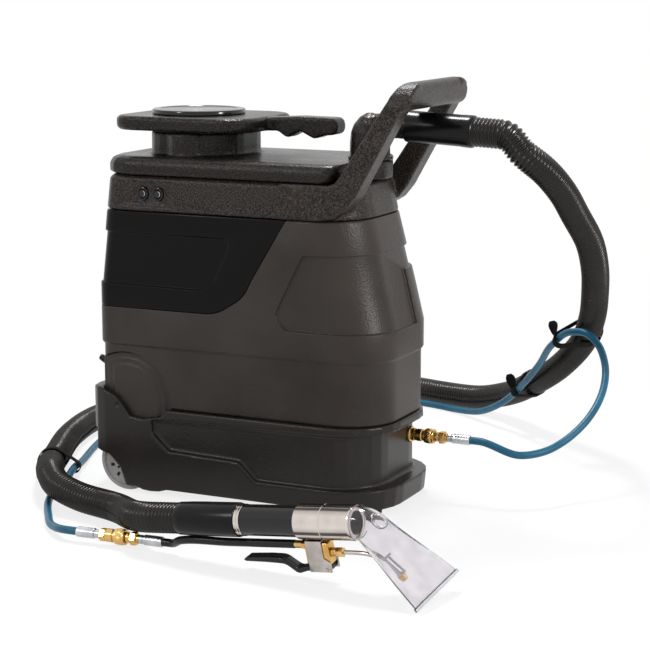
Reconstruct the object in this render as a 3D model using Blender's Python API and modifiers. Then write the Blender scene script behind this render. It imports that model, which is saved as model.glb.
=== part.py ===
"""Spot extractor: a portable carpet and upholstery cleaner with its hoses and its hand tool.

X runs from the wheels to the hose end of the machine, Y to the far side, Z up from the floor.
The origin is under the middle of the machine and the hand tool together. Sizes are in metres.
"""

import math

import bmesh
import bpy
from mathutils import Matrix, Vector

# Fits
CLEARANCE = 0.0003          # between pieces that touch
RUNNING_GAP = 0.0005        # round and beside what turns or slides

# Heights, from the floor up
SKIRT_BOTTOM = 0.010
BASE_TOP = 0.140
BODY_HEIGHT = 0.3114
BAND_HEIGHT = 0.056
DECK_HEIGHT = 0.0287
NECK_HEIGHT = 0.0357
GASKET_THICKNESS = 0.002
LID_THICKNESS = 0.0227
CAP_THICKNESS = 0.0077
HANDLE_RISE = 0.154         # top of the cross bar above the band

# Body of the machine
BODY_LEFT = -0.345          # datum of all lengths
BODY_LENGTH = 0.490
BODY_WIDTH = 0.245
BODY_WALL = 0.0108
BODY_LEFT_RADIUS = 0.026
BODY_RIGHT_RADIUS = 0.083
BELT_RISE = 0.0962          # belt above the body's bottom
BELT_STEP = 0.004
SIDE_TAPER_RISE = 0.1997    # above it, the sides and the left end lean in
END_TAPER_RISE = 0.1427
LEFT_LEAN = 0.107
RIGHT_LEAN = 0.249
SIDE_LEAN = 0.027
TANK_FLOOR = 0.006
RECESS_DEPTH = 0.005
FRONT_PANEL_THICKNESS = 0.006
FRONT_PANEL_HEIGHT = 0.1527
FRONT_RECESS_DEPTH = 0.0035

# Base
BASE_OVERHANG_LEFT = 0.016
BASE_OVERHANG_RIGHT = 0.0075
BASE_LEFT_RADIUS = 0.032
BASE_RIGHT_RADIUS = 0.090
BASE_TUCK = 0.004           # the skirt draws in by this much at the hose end
BASE_OVERHANG_SIDE = 0.0045
WAIST_DEPTH = 0.008
WAIST_END_DEPTH = 0.019
BASE_CAVITY_WIDTH = 0.210
BASE_WALL = 0.009
PLATE_THICKNESS = 0.0025
PLATE_DROP = 0.0048         # ledge above the skirt, under which the plate sits
PLATE_SIDE_INSET = 0.0103   # from the body's side
PLATE_END_INSET = 0.060     # from the body's right end

# Hood and vacuum motor
HOOD_RADIUS = 0.081
HOOD_WALL = 0.007
HOOD_INSET = 0.050          # hood's axis from the body's left end
HOOD_RISE = 0.005           # and above the base
HOOD_SIDE_INSET = 0.010     # from the body's side
HOOD_STEP = 0.010
HOOD_STEP_OUT = 0.002
HOOD_FLOOR = 0.100
HOOD_FACE_INSET = 0.007     # flat left face, from the body's left end
MOTOR_CASE_RADIUS = 0.0527
MOTOR_CAN_RADIUS = 0.038
FAN_RADIUS = 0.046
FAN_WIDTH = 0.012
MOTOR_SHAFT_RADIUS = 0.004

# Wheels, axle and feet
WHEEL_RADIUS = 0.047
WHEEL_WIDTH = 0.030
WHEEL_INSET = 0.048         # axle from the body's left end
WELL_WIDTH = 0.0345
SKIRT_THICKNESS = 0.0085
WELL_WALL = 0.004
AXLE_RADIUS = 0.006
FOOT_RADIUS = 0.013
FOOT_INSET = 0.024          # foot's centre from the body's right end
FOOT_SPREAD = 0.081

# Top: frame, arms, switches
WELL_SIDE_INSET = 0.0185    # from the body's side
WELL_INSET_LEFT = 0.039
WELL_INSET_RIGHT = 0.084
ARM_SIDE_INSET = 0.0025
ARM_WIDTH = 0.038
ARM_EDGE = 0.007
HANDLE_CORNER = 0.050       # radius of the U's two top corners
SWITCH_XS = (0.086, 0.113)  # from the body's left end
SWITCH_RISE = 0.028         # above the band's bottom
SWITCH_RECESS_DEPTH = 0.003
BEZEL_RADIUS = 0.0105
BEZEL_BARREL = 0.0090
BEZEL_BORE = 0.0070
BEZEL_PROUD = 0.0025
ROCKER_RADIUS = 0.0064
ROCKER_HALF = 0.0024

# Recovery tank, lid and inlet
BUCKET_DEPTH = 0.178
BUCKET_WALL = 0.004
BUCKET_CLEARANCE = 0.004
DECK_SIDE_INSET = 0.0015
NECK_LEFT = 0.0635          # from the body's left end
NECK_LENGTH = 0.152
NECK_WIDTH = 0.166
NECK_WALL = 0.010
COLUMN_RADIUS = 0.0345      # round bulge on the near side of the neck
COLUMN_X = 0.143
COLUMN_Y = 0.065
LID_LEFT = 0.0165
LID_LENGTH = 0.2385
LID_WIDTH = 0.200
CAP_X = 0.124
CAP_RADIUS = 0.074
CAP_HUB_RADIUS = 0.050
CAP_HUB_DEPTH = 0.016
GRIP_WIDTH = 0.034
INLET_X = 0.421
INLET_RADIUS = 0.031
INLET_BORE = 0.0165
INLET_RISE = 0.0710         # top of the elbow above the deck
SPIGOT_RADIUS = 0.0205
SPIGOT_REACH = 0.0620
SPIGOT_AXIS_RISE = 0.0530   # its mouth's centre above the deck
SPIGOT_DROOP = math.radians(2.8)
TONGUE_WIDTH = 0.076
TONGUE_REACH = 0.033        # past the elbow's axis
PIPE_X = 0.090
PIPE_RADIUS = 0.017
PIPE_BORE = 0.015
FLOAT_RADIUS = 0.029
FLOAT_HEIGHT = 0.030
FLOAT_TRAVEL = 0.085
DUCT_RADIUS = 0.020
DUCT_BORE = 0.016

# Pump in the base
PUMP_END_INSET = 0.145      # from the body's right end
PUMP_Y = 0.030
PUMP_LENGTH = 0.050
PUMP_WIDTH = 0.052
PUMP_HEIGHT = 0.056
PUMP_MOTOR_RADIUS = 0.022
PUMP_MOTOR_LENGTH = 0.070
ROTOR_RADIUS = 0.016
ROTOR_LENGTH = 0.014
STRAINER_END_INSET = 0.205
INNER_HOSE_RADIUS = 0.006

# Couplers of the solution line
COUPLER_Y = 0.045
COUPLER_Z = 0.1005
COUPLER_RADIUS = 0.0100
FLANGE_RADIUS = 0.0130
FLANGE_THICKNESS = 0.0040
NOSE_RADIUS = 0.0082
SLEEVE_RADIUS = 0.0120
SLEEVE_LENGTH = 0.016
SLEEVE_TRAVEL = 0.004
NUT_RADIUS = 0.0100
FERRULE_RADIUS = 0.0078
FERRULE_LENGTH = 0.0377
FLOW_BORE = 0.0030
TOOL_COUPLER_AT = (-0.215, -0.392, 0.0155)
TOOL_COUPLER_TURN = math.radians(2.5)

# Hoses
VACUUM_HOSE_RADIUS = 0.0225
VACUUM_VALLEY_RADIUS = 0.0205
VACUUM_BORE_RADIUS = 0.0165
RIB_COUNT = 96
SOLUTION_HOSE_RADIUS = 0.006
CUFF_RADIUS = 0.0245
CUFF_LENGTH = 0.1075
STRAP_WIDTH = 0.018
STRAP_THICKNESS = 0.0016
STRAP_SLACK = 0.0012

# Hand tool: X along its tube to the head, Z up, the lever hangs below
TOOL_AT = (0.2459, -0.4232, 0.0946)
TOOL_TURN = (math.radians(9.15), math.radians(-7.21), math.radians(-5.48))
TUBE_RADIUS = 0.0245
TUBE_INNER_RADIUS = 0.0190
TUBE_BORE = 0.0165
TUBE_LENGTH = 0.0885
GRIP_LENGTH = 0.088
GRIP_RADIUS = 0.0218
BAND_LENGTH = 0.009
BAND_RADIUS = 0.0225
TOOL_CUFF_LENGTH = 0.102
TOOL_CUFF_RADIUS = 0.0243
HEAD_LENGTH = 0.1457
HEAD_DROOP = math.radians(46.7)
SLOT_WIDTH = 0.116
SLOT_THICKNESS = 0.014
HEAD_WALL = 0.003
VALVE_X = -0.067
VALVE_LENGTH = 0.038
VALVE_WIDTH = 0.018
VALVE_TOP = -0.0280
VALVE_BOTTOM = -0.0600
INLET_Z = -0.034
INLET_FITTING_RADIUS = 0.0055
INLET_FITTING_LENGTH = 0.019
OUTLET_Z = -0.044
OUTLET_LENGTH = 0.019
OUTLET_RADIUS = 0.0070
SADDLE_SHEET = 0.0018
SADDLE_BOTTOM = -0.0700
LEVER_PIVOT_X = -0.055
LEVER_PIVOT_Z = -0.0655
LEVER_THICKNESS = 0.005
PIN_RADIUS = 0.002
PLUNGER_RADIUS = 0.0022
JET_PIPE_RADIUS = 0.003

# What follows from these
BODY_BOTTOM = BASE_TOP + CLEARANCE
BODY_TOP = BODY_BOTTOM + BODY_HEIGHT
BODY_RIGHT = BODY_LEFT + BODY_LENGTH
BAND_BOTTOM = BODY_TOP + CLEARANCE
BAND_TOP = BAND_BOTTOM + BAND_HEIGHT
DECK_BOTTOM = BAND_TOP + CLEARANCE
DECK_TOP = DECK_BOTTOM + DECK_HEIGHT
NECK_TOP = DECK_TOP + NECK_HEIGHT
GASKET_BOTTOM = NECK_TOP + CLEARANCE
LID_BOTTOM = GASKET_BOTTOM + GASKET_THICKNESS + CLEARANCE
LID_TOP = LID_BOTTOM + LID_THICKNESS
CAP_BOTTOM = LID_TOP + CLEARANCE
BASE_LEFT = BODY_LEFT - BASE_OVERHANG_LEFT
BASE_RIGHT = BODY_RIGHT + BASE_OVERHANG_RIGHT
BASE_HALF = BODY_WIDTH / 2 + BASE_OVERHANG_SIDE
HOOD_X = BODY_LEFT + HOOD_INSET
HOOD_Z = BASE_TOP + HOOD_RISE
WHEEL_X = BODY_LEFT + WHEEL_INSET
WELL_OUTER = BASE_HALF - SKIRT_THICKNESS
WELL_INNER = WELL_OUTER - WELL_WIDTH
GLAND_Z = BASE_TOP + 0.0600
HOOD_WIDTH = BODY_WIDTH - 2 * HOOD_SIDE_INSET
PLATE_WIDTH = BODY_WIDTH - 2 * PLATE_SIDE_INSET
WELL_HALF = BODY_WIDTH / 2 - WELL_SIDE_INSET
ARM_OUTER = BODY_WIDTH / 2 - ARM_SIDE_INSET
ARM_INNER = ARM_OUTER - ARM_WIDTH
DECK_WIDTH = BODY_WIDTH - 2 * DECK_SIDE_INSET
PUMP_X = BODY_LENGTH - PUMP_END_INSET
STRAINER_X = BODY_LENGTH - STRAINER_END_INSET
FAR = 0.2                   # beyond every face, for cutters that go right through

PARTS = None
CUTTERS = None
ROOT = None
HAND_TOOL = None


# ---------------------------------------------------------------- scene and materials

def clear_scene():
    for item in list(bpy.data.objects):
        bpy.data.objects.remove(item)
    for item in list(bpy.data.collections):
        bpy.data.collections.remove(item)


def new_collection(name):
    collection = bpy.data.collections.new(name)
    bpy.context.scene.collection.children.link(collection)
    return collection


def new_empty(name, parent=None, location=(0, 0, 0), rotation=(0, 0, 0)):
    empty = bpy.data.objects.new(name, None)
    empty.location = location
    empty.rotation_euler = rotation
    empty.parent = parent
    PARTS.objects.link(empty)
    return empty


def material(name, colour, roughness, metallic=0.0):
    """Principled material with an sRGB hex colour."""
    found = bpy.data.materials.get(name)
    if found:
        return found
    made = bpy.data.materials.new(name)
    made.use_nodes = True
    shader = made.node_tree.nodes["Principled BSDF"]
    channels = [int(colour[k:k + 2], 16) / 255 for k in (0, 2, 4)]
    linear = [c / 12.92 if c <= 0.04045 else ((c + 0.055) / 1.055) ** 2.4 for c in channels]
    shader.inputs["Base Color"].default_value = (*linear, 1.0)
    shader.inputs["Roughness"].default_value = roughness
    shader.inputs["Metallic"].default_value = metallic
    return made


def moulded_black():
    return material("moulded_black", "332f2c", 0.45)


def gloss_black():
    return material("gloss_black", "1b1919", 0.2)


def rubber_black():
    return material("rubber_black", "1d1c1c", 0.6)


def brass():
    return material("brass", "c9a04a", 0.3, 1.0)


def zinc():
    return material("zinc_plated_steel", "b0b5b5", 0.35, 1.0)


def chrome():
    return material("chromed_steel", "c8c8ca", 0.1, 1.0)


def blue_rubber():
    return material("blue_rubber", "1f6f92", 0.5)


def motor_steel():
    return material("motor_steel", "8a8c8e", 0.4, 1.0)


def clear_plastic():
    return material("clear_plastic", "dfe3e6", 0.1)


def pale_plastic():
    return material("pale_plastic", "c9cccd", 0.4)


# ---------------------------------------------------------------- shapes

def place(data, parent=None):
    """New hidden shape. It becomes a part through make_part, or stays a cutter."""
    shape = bpy.data.objects.new("shape", data)
    CUTTERS.objects.link(shape)
    shape.parent = parent or ROOT
    shape.hide_render = True
    shape.display_type = "WIRE"
    return shape


def make_part(shape, name, finish):
    CUTTERS.objects.unlink(shape)
    PARTS.objects.link(shape)
    shape.name = name
    shape.data.name = name
    shape.hide_render = False
    shape.display_type = "TEXTURED"
    shape.data.materials.clear()
    shape.data.materials.append(finish)
    return shape


def mesh_from(work):
    bmesh.ops.recalc_face_normals(work, faces=work.faces)
    mesh = bpy.data.meshes.new("shape")
    work.to_mesh(mesh)
    work.free()
    return mesh


def box(x0, x1, y0, y1, z0, z1, parent=None):
    work = bmesh.new()
    middle = Matrix.Translation(((x0 + x1) / 2, (y0 + y1) / 2, (z0 + z1) / 2))
    size = Matrix.Diagonal((x1 - x0, y1 - y0, z1 - z0, 1))
    bmesh.ops.create_cube(work, size=1, matrix=middle @ size)
    return place(mesh_from(work), parent)


def loft(rings, parent=None):
    """Closed skin over rings of equally many points."""
    work = bmesh.new()
    loops = [[work.verts.new(point) for point in ring] for ring in rings]
    for lower, upper in zip(loops, loops[1:]):
        for index, corner in enumerate(lower):
            after = (index + 1) % len(lower)
            work.faces.new((corner, lower[after], upper[after], upper[index]))
    work.faces.new(loops[0])
    work.faces.new(loops[-1])
    return place(mesh_from(work), parent)


def arc(centre, radius, start, sweep, steps):
    angles = [start + sweep * k / steps for k in range(steps + 1)]
    return [(centre[0] + radius * math.cos(a), centre[1] + radius * math.sin(a)) for a in angles]


def plan_ring(x0, x1, half, z, left_radius, right_radius, left_steps=3, right_steps=6):
    """Level rounded rectangle, counter-clockwise from above."""
    left_radius = min(left_radius, half * 0.98)
    right_radius = min(right_radius, half * 0.98)
    quarter = math.pi / 2
    outline = []
    corners = (
        ((x1 - right_radius, right_radius - half), right_radius, -quarter, right_steps),
        ((x1 - right_radius, half - right_radius), right_radius, 0.0, right_steps),
        ((x0 + left_radius, half - left_radius), left_radius, quarter, left_steps),
        ((x0 + left_radius, left_radius - half), left_radius, 2 * quarter, left_steps),
    )
    for centre, radius, start, steps in corners:
        outline += arc(centre, radius, start, quarter, steps)
    return [(x, y, z) for x, y in outline]


def rounded(corners, coarse=math.radians(22)):
    """Closed outline through (x, z, radius) corners, each turned with an arc."""
    outline = []
    for index, (x, z, radius) in enumerate(corners):
        corner = Vector((x, z))
        if not radius:
            outline.append((x, z))
            continue
        back = Vector(corners[index - 1][:2]) - corner
        ahead = Vector(corners[(index + 1) % len(corners)][:2]) - corner
        half = back.angle(ahead) / 2
        reach = min(radius / math.tan(half), 0.48 * back.length, 0.48 * ahead.length)
        radius = reach * math.tan(half)
        middle = (back.normalized() + ahead.normalized()).normalized()
        centre = corner + middle * radius / math.sin(half)
        first = corner + back.normalized() * reach - centre
        last = corner + ahead.normalized() * reach - centre
        start = math.atan2(first.y, first.x)
        sweep = math.atan2(first.cross(last), first.dot(last))
        outline += arc(centre, radius, start, sweep, max(2, math.ceil(abs(sweep) / coarse)))
    return outline


def poly_spline(curve, points, cyclic, radii=None):
    spline = curve.splines.new("POLY")
    spline.points.add(len(points) - 1)
    for index, point in enumerate(points):
        spline.points[index].co = (*point, 1.0)
        if radii:
            spline.points[index].radius = radii[index]
    spline.use_cyclic_u = cyclic
    spline.use_smooth = False


def meshed(shape):
    """Mesh copy of a curve shape, its loose caps welded, in the curve's place."""
    bpy.context.view_layer.update()
    graph = bpy.context.evaluated_depsgraph_get()
    data = bpy.data.meshes.new_from_object(shape.evaluated_get(graph))
    work = bmesh.new()
    work.from_mesh(data)
    bmesh.ops.remove_doubles(work, verts=work.verts, dist=0.00001)
    bmesh.ops.dissolve_degenerate(work, edges=work.edges, dist=0.000001)
    made = place(mesh_from(work), shape.parent)
    made.matrix_world = shape.matrix_world
    bpy.data.objects.remove(shape)
    return made


def plate(outlines, thickness, parent=None):
    """Flat outline, with any holes, filled and given its thickness about its own plane."""
    curve = bpy.data.curves.new("outline", "CURVE")
    curve.dimensions = "2D"
    curve.fill_mode = "BOTH"
    curve.extrude = thickness / 2
    for outline in outlines:
        poly_spline(curve, [(a, b, 0.0) for a, b in outline], True)
    return place(curve, parent)


def side_plate(outline, y0, y1, parent=None):
    """Prism on an outline of (x, z) points."""
    shape = plate([outline], y1 - y0, parent)
    shape.location.y = (y0 + y1) / 2
    shape.rotation_euler.x = math.pi / 2
    return meshed(shape)


def plan_plate(outline, z0, z1, parent=None):
    shape = plate([outline], z1 - z0, parent)
    shape.location.z = (z0 + z1) / 2
    return meshed(shape)


def turned(profile, steps, at, axis, parent=None):
    """Solid of revolution. (radius, height) points run down its outer side."""
    closed = profile[0][0] > 0
    mesh = bpy.data.meshes.new("shape")
    edges = [(k, k + 1) for k in range(len(profile) - 1)]
    if closed:
        edges.append((len(profile) - 1, 0))
    mesh.from_pydata([(radius, 0, height) for radius, height in profile], edges, [])
    shape = place(mesh, parent)
    shape.location = at
    shape.rotation_euler = Vector(axis).to_track_quat("Z", "Y").to_euler()
    screw = shape.modifiers.new("turn", "SCREW")
    screw.angle = 2 * math.pi
    screw.steps = steps
    screw.render_steps = steps
    screw.use_merge_vertices = True
    screw.merge_threshold = 0.00001
    screw.use_smooth_shade = False
    return shape


def barrel(sections, at, axis, bore=0.0, steps=12, parent=None):
    """Turned piece on (height, radius) sections from its foot up, with an even bore."""
    profile = [(radius, height) for height, radius in reversed(sections)]
    top = sections[-1][0]
    foot = sections[0][0]
    if bore:
        profile += [(bore, foot), (bore, top)]
    else:
        profile = [(0.0, top)] + profile + [(0.0, foot)]
    return turned(profile, steps, at, axis, parent)


def tube(points, radius, radii=None, parent=None):
    curve = bpy.data.curves.new("tube", "CURVE")
    curve.dimensions = "3D"
    curve.bevel_depth = radius
    curve.bevel_resolution = 2
    curve.use_fill_caps = True
    poly_spline(curve, points, False, radii)
    return place(curve, parent)


def add_boolean(target, tools, operation):
    for tool in tools:
        change = target.modifiers.new(operation.lower(), "BOOLEAN")
        change.operation = operation
        change.solver = "EXACT"
        change.object = tool
    return target


def cut(target, *tools):
    return add_boolean(target, tools, "DIFFERENCE")


def join(target, *tools):
    return add_boolean(target, tools, "UNION")


def keep_within(target, *tools):
    return add_boolean(target, tools, "INTERSECT")


def round_edges(shape, width, segments=2):
    bevel = shape.modifiers.new("edges", "BEVEL")
    bevel.width = width
    bevel.segments = segments
    bevel.limit_method = "ANGLE"
    bevel.angle_limit = math.radians(40)
    return shape


# ---------------------------------------------------------------- routes

def smooth_path(points, start_direction, end_direction, lowest):
    """Dense points on a smooth curve through the route, never under its resting height."""
    route = [Vector(point) for point in points]
    gaps = [(after - before).length for before, after in zip(route, route[1:])]
    slopes = [Vector(start_direction).normalized()]
    for k in range(1, len(route) - 1):
        back = (route[k] - route[k - 1]) / gaps[k - 1]
        ahead = (route[k + 1] - route[k]) / gaps[k]
        slopes.append((back * gaps[k] + ahead * gaps[k - 1]) / (gaps[k] + gaps[k - 1]))
    slopes.append(Vector(end_direction).normalized())
    dense = []
    for k, gap in enumerate(gaps):
        for step in range(24):
            t = step / 24
            point = (2 * t ** 3 - 3 * t ** 2 + 1) * route[k] + (t ** 3 - 2 * t ** 2 + t) * gap * slopes[k]
            point += (3 * t ** 2 - 2 * t ** 3) * route[k + 1] + (t ** 3 - t ** 2) * gap * slopes[k + 1]
            dense.append(point)
    dense.append(route[-1])
    for point in dense:
        point.z = max(point.z, lowest)
    return dense


def route_length(points):
    return sum((after - before).length for before, after in zip(points, points[1:]))


def spaced(points, count):
    """The same route on evenly spaced points, its two ends kept."""
    step = route_length(points) / count
    result = [points[0]]
    walked = 0.0
    for before, after in zip(points, points[1:]):
        gap = (after - before).length
        while len(result) < count and walked + gap >= step * len(result):
            result.append(before.lerp(after, (step * len(result) - walked) / gap))
        walked += gap
    result.append(points[-1])
    return result


def plain_points(route, count):
    """Evenly spaced points between a route's two straight ends, which stay as they are."""
    return [route[0]] + spaced(route[1:-1], count) + [route[-1]]


def with_straight_ends(start, end, start_direction, end_direction, points, straight, lowest):
    """Route that leaves and arrives along its ends' directions for a straight stretch."""
    leaving = Vector(start) + Vector(start_direction).normalized() * straight
    arriving = Vector(end) - Vector(end_direction).normalized() * straight
    middle = smooth_path([leaving, *points, arriving], start_direction, end_direction, lowest)
    return [Vector(start)] + middle + [Vector(end)]


# ---------------------------------------------------------------- body outline

def left_edge(z):
    return BODY_LEFT + LEFT_LEAN * max(0.0, z - BODY_BOTTOM - SIDE_TAPER_RISE)


def right_edge(z):
    return BODY_RIGHT - RIGHT_LEAN * max(0.0, z - BODY_BOTTOM - END_TAPER_RISE)


def half_width(z):
    return BODY_WIDTH / 2 - SIDE_LEAN * max(0.0, z - BODY_BOTTOM - SIDE_TAPER_RISE)


def shell_ring(z, inset=0.0):
    return plan_ring(left_edge(z) + inset, right_edge(z) - inset, half_width(z) - inset, z,
                     max(0.008, BODY_LEFT_RADIUS - inset), BODY_RIGHT_RADIUS - inset)


def shell_loft(inset, low, high):
    levels = [low, BODY_BOTTOM + END_TAPER_RISE, BODY_BOTTOM + SIDE_TAPER_RISE, high]
    levels = [z for z in levels if low <= z <= high]
    return loft([shell_ring(z, inset) for z in levels])


def hood_outline(radius, left, foot, steps=15):
    """Round hood seen from the side, cut flat at its left and at its foot."""
    rise = math.sqrt(max(0.0, radius ** 2 - (HOOD_X - left) ** 2))
    start = math.atan2(rise, left - HOOD_X)
    end = -math.asin((HOOD_Z - foot) / radius)
    return [(left, foot)] + arc((HOOD_X, HOOD_Z), radius, start, end - start, steps)


def hood_cylinder(radius):
    """Cutter whose flats touch the radius, so that it clears a round hood."""
    steps = 48
    across = radius / math.cos(math.pi / steps)
    return barrel([(-FAR, across), (FAR, across)], (HOOD_X, 0, HOOD_Z), (0, 1, 0), steps=steps)


def front_seam(shift):
    """Slanted right edge of the front panel, seen from the side, moved by shift."""
    top = BODY_TOP
    seam = rounded([
        (BODY_LEFT - FAR, top + FAR, 0),
        (BODY_LEFT - FAR, top - FRONT_PANEL_HEIGHT - shift, 0),
        (BODY_LEFT + 0.215 + shift, top - FRONT_PANEL_HEIGHT - shift, 0.02),
        (BODY_LEFT + 0.264 + shift, top - FRONT_PANEL_HEIGHT + 0.030 - shift, 0.03),
        (BODY_LEFT + 0.278 + shift, top - 0.0947, 0.02),
        (BODY_LEFT + 0.335 + shift, top, 0),
        (BODY_LEFT + 0.335 + shift, top + FAR, 0),
    ])
    return seam


# ---------------------------------------------------------------- base

def base_ring(z, inset=0.0):
    lean = min(max((z - 0.055) / (BASE_TOP - 0.055), 0.0), 1.0)
    tuck = min(max((BASE_TOP - 0.098 - z) / 0.038, 0.0), 1.0)
    right = BASE_RIGHT - 0.007 * lean - BASE_TUCK * tuck
    return plan_ring(BASE_LEFT + inset, right - inset, BASE_HALF - inset, z,
                     BASE_LEFT_RADIUS - inset, BASE_RIGHT_RADIUS - inset)


def base_plate_outline(grow):
    tongue = WELL_INNER - WELL_WALL - 0.002 + grow
    half = PLATE_WIDTH / 2 + grow
    left = BODY_LEFT + 0.009 - grow
    neck = WHEEL_X + 0.061 - grow
    right = BODY_RIGHT - PLATE_END_INSET + grow
    return [(left, -tongue), (neck, -tongue), (neck, -half), (right, -half),
            (right, half), (neck, half), (neck, tongue), (left, tongue)]


def make_base():
    ledge = SKIRT_BOTTOM + PLATE_DROP
    shell = loft([base_ring(z) for z in (SKIRT_BOTTOM - 0.006, BASE_TOP - 0.098, 0.055, BASE_TOP, BASE_TOP + 0.030)])
    above = side_plate([
        (BASE_LEFT - FAR, BASE_TOP + 0.027), (HOOD_X - 0.045, BASE_TOP + 0.027),
        (HOOD_X - 0.015, BASE_TOP + 0.015), (HOOD_X, BASE_TOP - 0.001),
        (HOOD_X + 0.011, BASE_TOP - 0.016), (HOOD_X + 0.035, BASE_TOP - 0.018),
        (HOOD_X + 0.067, BASE_TOP - 0.012), (HOOD_X + 0.076, BASE_TOP),
        (BASE_RIGHT + FAR, BASE_TOP), (BASE_RIGHT + FAR, BASE_TOP + FAR),
        (BASE_LEFT - FAR, BASE_TOP + FAR),
    ], -FAR, FAR)
    below = side_plate([
        (BASE_LEFT - FAR, -FAR), (BASE_RIGHT + FAR, -FAR), (BASE_RIGHT + FAR, SKIRT_BOTTOM),
        (WHEEL_X + 0.078, SKIRT_BOTTOM), (WHEEL_X + 0.064, SKIRT_BOTTOM - 0.004),
        (WHEEL_X + 0.048, SKIRT_BOTTOM - 0.0055), (WHEEL_X + 0.034, SKIRT_BOTTOM - 0.004),
        (WHEEL_X + 0.022, SKIRT_BOTTOM), (BASE_LEFT - FAR, SKIRT_BOTTOM),
    ], -FAR, FAR)
    hub = WHEEL_RADIUS
    wedge = [(BASE_LEFT - FAR, hub + 0.019), (BASE_LEFT, hub + 0.019), (WHEEL_X - 0.046, hub + 0.015),
             (WHEEL_X - 0.025, hub + 0.010), (WHEEL_X - 0.006, hub - 0.010),
             (WHEEL_X + 0.009, -0.005), (BASE_LEFT - FAR, -0.005)]
    nose = box(BASE_LEFT - FAR, BODY_LEFT - 0.002, -FAR, FAR, -FAR, hub + 0.015)
    waist = side_plate([
        (HOOD_X + 0.050, BASE_TOP - 0.0175), (HOOD_X + 0.052, BASE_TOP - 0.040),
        (HOOD_X + 0.081, BASE_TOP - 0.066), (BODY_LEFT + 0.255, BASE_TOP - 0.070),
        (BODY_LEFT + 0.285, BASE_TOP - 0.098), (BASE_RIGHT + FAR, BASE_TOP - 0.098),
        (BASE_RIGHT + FAR, BASE_TOP - 0.010),
    ], -FAR, FAR)
    core = loft([plan_ring(BASE_LEFT, BODY_RIGHT + 0.001 - WAIST_END_DEPTH,
                           BASE_HALF - WAIST_DEPTH, z, 0.04, 0.077) for z in (0.0, BASE_TOP + 0.05)])
    cut(waist, core)
    cavity_left = HOOD_X + HOOD_RADIUS + 0.006
    cavity_right = BODY_RIGHT + 0.001 - WAIST_END_DEPTH - BASE_WALL
    cavity = loft([plan_ring(cavity_left, cavity_right, BASE_CAVITY_WIDTH / 2, z, 0.012, 0.063)
                   for z in (ledge, BASE_TOP + FAR)])
    inner = WELL_INNER - WELL_WALL
    motor_bay = box(BODY_LEFT + 0.0075, cavity_left + 0.02, -inner, inner, ledge, HOOD_FLOOR + 0.01)
    seat = side_plate(hood_outline(HOOD_RADIUS + 3 * CLEARANCE,
                                   BODY_LEFT + HOOD_FACE_INSET - CLEARANCE, HOOD_FLOOR - CLEARANCE),
                      -HOOD_WIDTH / 2 - 2 * HOOD_STEP_OUT - CLEARANCE,
                      HOOD_WIDTH / 2 + 2 * HOOD_STEP_OUT + CLEARANCE)
    pocket = plan_plate(base_plate_outline(CLEARANCE), SKIRT_BOTTOM - 0.02, ledge)
    axle_hole = barrel([(-BASE_HALF + 0.0045, AXLE_RADIUS + CLEARANCE),
                        (BASE_HALF - 0.0045, AXLE_RADIUS + CLEARANCE)],
                       (WHEEL_X, 0, WHEEL_RADIUS), (0, 1, 0), steps=16)
    coupler_hole = barrel([(-0.02, COUPLER_RADIUS - 0.0007), (0.02, COUPLER_RADIUS - 0.0007)],
                          (cavity_right, COUPLER_Y, COUPLER_Z), (1, 0, 0), steps=16)
    drain_hole = barrel([(0, 0.004), (0.02, 0.004)],
                        (HOOD_X - 0.011, 0.004 - BASE_HALF, BASE_TOP + 0.001), (0, -1, 0), steps=10)
    cut(shell, above, below, waist, nose, cavity, motor_bay, seat, pocket)
    for side in (-1, 1):
        low, high = sorted((side * WELL_INNER, side * WELL_OUTER))
        cut(shell, box(BASE_LEFT - 0.02, WHEEL_X + 0.054, low, high, -0.02, 2 * WHEEL_RADIUS + 0.0025))
        low, high = sorted((side * WELL_INNER, side * FAR))
        cut(shell, side_plate(wedge, low, high))
    cut(shell, axle_hole, coupler_hole, drain_hole)
    make_part(shell, "base_housing", moulded_black())

    top = ledge - CLEARANCE
    bottom_plate = plan_plate(base_plate_outline(0.0), top - PLATE_THICKNESS, top)
    make_part(bottom_plate, "base_plate", moulded_black())

    foot_x = BODY_RIGHT - FOOT_INSET
    foot_top = SKIRT_BOTTOM - CLEARANCE
    sections = [(0, FOOT_RADIUS - 0.003), (0.002, FOOT_RADIUS - 0.0015), (foot_top, FOOT_RADIUS)]
    for side, name in ((-1, "foot_near"), (1, "foot_far")):
        foot = barrel(sections, (foot_x, side * FOOT_SPREAD, 0), (0, 0, 1), steps=16)
        make_part(foot, name, rubber_black())


# ---------------------------------------------------------------- wheels

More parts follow.
